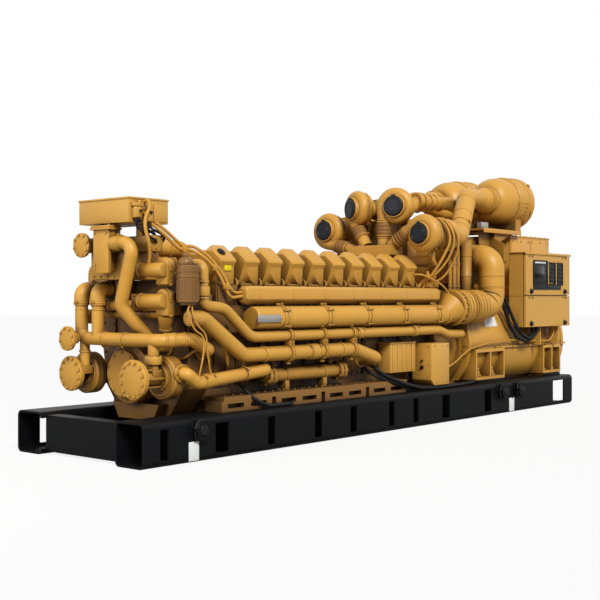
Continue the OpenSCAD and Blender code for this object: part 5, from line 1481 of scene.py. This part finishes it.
# %% Aftercooler trim and breather columns
COLUMN = [(0, 0.001), (0, 0.05), (0.02, 0.058), (0.10, 0.068), (0.20, 0.0745), (0.24, 0.0745), (0.245, 0.079),
          (0.265, 0.079), (0.27, 0.076), (0.50, 0.078), (0.505, 0.083), (0.525, 0.083), (0.53, 0.079),
          (0.66, 0.080), (0.69, 0.074), (0.708, 0.05), (0.708, 0.001)]
bm = bmesh.new()
for side in (-1, 1):
    turned(bm, COLUMN, at(1.745, side * 0.545, 1.4995), UP, 44)
    for x, r, top in ((1.50, 0.036, 2.05), (1.59, 0.030, 2.12), (1.42, 0.022, 1.96)):
        tube(bm, places(side, (x, 0.50, 1.24), (x, 0.52, 1.5), (x, 0.52, top), (1.60, 0.40, top + 0.06)),
             r, 0.08, 20)
        for z in (1.62, 1.90):
            ring(bm, at(x, side * 0.52, z), UP, r - 0.004, r + 0.007, 0.02)
    bolt_grid(bm, Vector((0, side, 0)), 0.010, (1.84, 2.06, 2.28), (side * 0.4395,), (1.72, 1.96, 2.20))
    for k in range(7):
        bolt(bm, at(1.60 + k * 0.125, side * 0.38, 2.2595), UP, 0.010)
        side_block(bm, side, (1.565 + k * 0.034, 0.419, 1.70), (1.577 + k * 0.034, 0.428, 2.22), 0.002)
bolt_grid(bm, LEFT, 0.010, (1.5605,), (-0.35, -0.2, -0.05, 0.1, 0.25, 0.38), (1.70, 2.22))
for y in (-0.30, 0.0, 0.30):
    block(bm, at(1.545, y - 0.10, 1.90), at(1.561, y + 0.10, 2.16), 0.006)
piece("aftercooler_trim", bm, CASTING)
bm = bmesh.new()
block(bm, at(2.09, -0.57, 2.3805), at(2.26, -0.50, 2.46), 0.006)
piece("shelf_sensor_box", bm, PLATE)

# %% Edges and bolts of the drum shelf
bm = bmesh.new()
for side in (-1, 1):
    bolt_grid(bm, UP, 0.013, (2.92, 3.02), (side * 0.58,), (2.38,))
    bolt_grid(bm, -UP, 0.013, (2.92, 3.02), (side * 0.58,), (2.355,))
    side_block(bm, side, (2.08, 0.604, 2.325), (3.05, 0.612, 2.381), 0.003)
    bolt_grid(bm, Vector((0, side, 0)), 0.011, (2.16, 2.39), (side * 0.505,), (1.88, 2.0, 2.17, 2.29))
piece("shelf_edges", bm, MACHINE)

# %% Conduits from the aftercooler to the cabinet
def corrugated(bm, route, radius, bend=0.07):
    """Ribbed conduit: a sweep whose radius goes up and down every 12 mm."""
    corners = stations(route, bend)
    path, radii, wave = [], [], 0
    for (a, da), (b, db) in zip(corners, corners[1:]):
        count = max(1, round((b - a).length / 0.006))
        for k in range(count):
            path.append((a.lerp(b, k / count), da.lerp(db, k / count).normalized()))
            radii.append(radius * (1.0 if wave % 2 else 0.82))
            wave += 1
    path.append(corners[-1])
    radii.append(radius * 0.82)
    sweep(bm, path, radii, 12)


CABINET_FOOT = 1.0917  # the underside of the cabinet
bm = bmesh.new()
corrugated(bm, places(1, (2.27, -COOLER_WALL, 1.76), (2.27, -0.54, 1.76), (2.29, -0.70, 1.56),
                      (2.40, -0.80, 1.15), (2.56, -0.83, 0.96), (2.75, -0.86, 0.90), (2.90, -0.86, 1.00),
                      (2.90, -0.86, CABINET_FOOT)), 0.026)
corrugated(bm, places(1, (2.34, -COOLER_WALL, 1.74), (2.34, -0.55, 1.74), (2.37, -0.72, 1.53),
                      (2.48, -0.83, 1.16), (2.63, -0.86, 0.99), (2.80, -0.885, 0.93), (2.97, -0.88, 1.00),
                      (2.97, -0.88, CABINET_FOOT)), 0.024)
for x, y in ((2.90, -0.86), (2.97, -0.88)):
    bar(bm, at(x, y, 1.055), at(x, y, 1.092), 0.034, sides=6, edge=0.002)
piece("cabinet_conduits", bm, RUBBER, stands_for=("harness",))


# %% Black hoses low on the near side and under the control box
def hoses(bm, sides, *rows):
    """Hoses given as rows of radius and the points of a route."""
    for radius, *route in rows:
        hose(bm, places(1, *route), radius, sides)


bm = bmesh.new()
hoses(bm, 14,
      (0.021, (-0.43, -0.60, 0.755), (-0.40, -0.70, 0.70), (-0.30, -0.78, 0.60), (0.0, -0.83, 0.50),
       (0.30, -0.84, 0.435), (0.9, -0.82, 0.424), (1.45, -0.80, 0.424), (1.60, -0.74, 0.44)),
      (0.017, (-0.50, -0.60, 0.70), (-0.42, -0.74, 0.60), (-0.10, -0.80, 0.50), (0.25, -0.80, 0.424),
       (0.60, -0.86, 0.422), (1.1, -0.85, 0.422), (1.62, -0.77, 0.43)),
      (0.018, (-2.56, -0.52, 0.70), (-2.53, -0.62, 0.68), (-2.50, -0.70, 0.60), (-2.46, -0.80, 0.50),
       (-2.30, -0.83, 0.421), (-1.95, -0.82, 0.42), (-1.85, -0.76, 0.43)),
      (0.013, (-3.56, -0.385, 2.17), (-3.56, -0.41, 2.09), (-3.50, -0.45, 2.04), (-3.42, -0.46, 2.0),
       (-3.37, -0.42, 1.985)),
      (0.013, (-3.44, -0.385, 2.175), (-3.43, -0.42, 2.10), (-3.33, -0.44, 2.07), (-3.24, -0.40, 2.03),
       (-3.20, -0.22, 1.93), (-3.20, -0.20, 1.89)),
      (0.015, (-3.50, -0.30, 2.163), (-3.50, -0.32, 2.11), (-3.38, -0.36, 2.085), (-3.27, -0.30, 2.06),
       (-3.22, -0.10, 1.98)),
      (0.015, (-3.58, 0.10, 2.163), (-3.50, 0.16, 2.10), (-3.36, 0.26, 2.075), (-3.24, 0.22, 2.04),
       (-3.20, 0.05, 1.98)))
piece("black_hoses", bm, RUBBER)

# %% Enamelled tubes and wires
bm = bmesh.new()
hoses(bm, 12,
      # from the control box down to the front castings
      (0.016, (-3.47, -0.36, 2.345), (-3.47, -0.43, 2.37), (-3.475, -0.455, 2.30), (-3.54, -0.46, 2.20),
       (-3.555, -0.475, 2.10), (-3.52, -0.49, 1.98), (-3.47, -0.45, 1.86), (-3.455, -0.41, 1.785)),
      (0.013, (-3.49, -0.36, 2.25), (-3.50, -0.44, 2.24), (-3.53, -0.45, 2.15), (-3.53, -0.465, 2.06),
       (-3.50, -0.47, 1.97), (-3.455, -0.43, 1.86), (-3.43, -0.38, 1.785)),
      # from the control box back to the fuel rail
      (0.017, (-3.36, -0.358, 2.15), (-3.352, -0.45, 2.096), (-3.149, -0.50, 1.918), (-3.021, -0.50, 1.931),
       (-2.922, -0.60, 1.857), (-2.773, -0.65, 1.689), (-2.723, -0.68, 1.547), (-2.66, -0.68, 1.47),
       (-2.47, -0.66, 1.49)),
      (0.015, (-3.32, -0.358, 2.17), (-3.30, -0.44, 2.115), (-3.10, -0.49, 1.95), (-2.98, -0.49, 1.965),
       (-2.87, -0.58, 1.88), (-2.72, -0.63, 1.71), (-2.665, -0.67, 1.57), (-2.60, -0.67, 1.52),
       (-2.47, -0.65, 1.525)),
      # below the oil filter
      (0.008, (-3.30, -0.80, 1.412), (-3.40, -0.865, 1.36), (-3.371, -0.87, 1.274), (-3.319, -0.88, 1.175),
       (-3.227, -0.90, 1.128), (-3.227, -0.90, 0.984), (-3.259, -0.90, 0.86), (-3.26, -0.87, 0.755)),
      (0.008, (-3.28, -0.80, 1.412), (-3.35, -0.88, 1.33), (-3.30, -0.89, 1.22), (-3.20, -0.90, 1.15),
       (-3.18, -0.90, 0.95), (-3.10, -0.86, 0.78)),
      (0.016, (-2.95, -0.60, 1.18), (-2.95, -0.70, 1.14), (-2.80, -0.74, 1.02), (-2.72, -0.70, 0.84),
       (-2.62, -0.60, 0.78), (-2.55, -0.52, 0.78)),
      (0.013, (-3.15, -0.50, 0.90), (-3.20, -0.62, 0.92), (-3.08, -0.70, 1.02), (-2.90, -0.66, 0.90),
       (-2.80, -0.52, 0.80)),
      # from the junction box to the cabinet
      (0.009, (0.85, -0.80, 0.62), (1.0, -0.84, 0.68), (1.2, -0.835, 0.77), (1.42, -0.80, 0.84),
       (1.9, -0.79, 0.905), (2.4, -0.79, 0.925), (3.0, -0.82, 0.90), (3.4, -0.85, 0.89), (3.5, -0.86, 0.98),
       (3.5, -0.86, CABINET_FOOT)),
      # oil and air lines below the turbochargers
      (0.011, (0.52, -0.61, 1.75), (0.56, -0.68, 1.75), (0.717, -0.72, 1.70), (0.90, -0.745, 1.63),
       (1.04, -0.75, 1.53), (1.07, -0.75, 1.44)),
      (0.016, (0.80, -0.72, 2.42), (0.77, -0.80, 2.41), (0.79, -0.90, 2.30), (0.80, -0.93, 2.14),
       (0.73, -0.86, 1.94), (0.69, -0.74, 1.74), (0.66, -0.60, 1.66), (0.64, -0.58, 1.60)),
      (0.014, (0.86, -0.72, 2.43), (0.83, -0.82, 2.41), (0.84, -0.93, 2.28), (0.86, -0.95, 2.12),
       (0.83, -0.87, 1.92), (0.77, -0.74, 1.75), (0.72, -0.60, 1.66), (0.70, -0.57, 1.40)),
      (0.014, (0.90, -0.74, 2.43), (0.89, -0.86, 2.38), (0.92, -0.95, 2.24), (0.96, -0.94, 2.05),
       (0.95, -0.84, 1.84), (0.90, -0.74, 1.70), (0.86, -0.60, 1.64), (0.86, -0.57, 1.39)),
      (0.012, (0.62, -0.10, 2.0), (0.70, -0.40, 1.96), (0.84, -0.62, 1.98), (1.0, -0.62, 2.05)))
# fittings on the block below the turbochargers, and clips along the wires
for x, y, z in ((0.90, -0.60, 1.66), (0.80, -0.60, 1.72), (0.97, -0.58, 1.74)):
    bar(bm, at(x, y, z - 0.03), at(x, y, z + 0.04), 0.032, sides=6, edge=0.003)
    bar(bm, at(x, y, z + 0.035), at(x, y, z + 0.075), 0.022, sides=16, edge=0.002)
block(bm, at(0.74, -0.62, 1.60), at(1.02, -0.54, 1.665), 0.008)
block(bm, at(0.76, -0.60, 1.3995), at(0.90, -0.50, 1.62), 0.008)
for x, y, z in ((-3.10, -0.49, 1.93), (-2.83, -0.62, 1.76), (-2.72, -0.67, 1.58)):
    block(bm, at(x - 0.02, y - 0.035, z - 0.03), at(x + 0.03, y + 0.03, z + 0.03), 0.006)
piece("enamelled_lines", bm, TAN_HOSE)
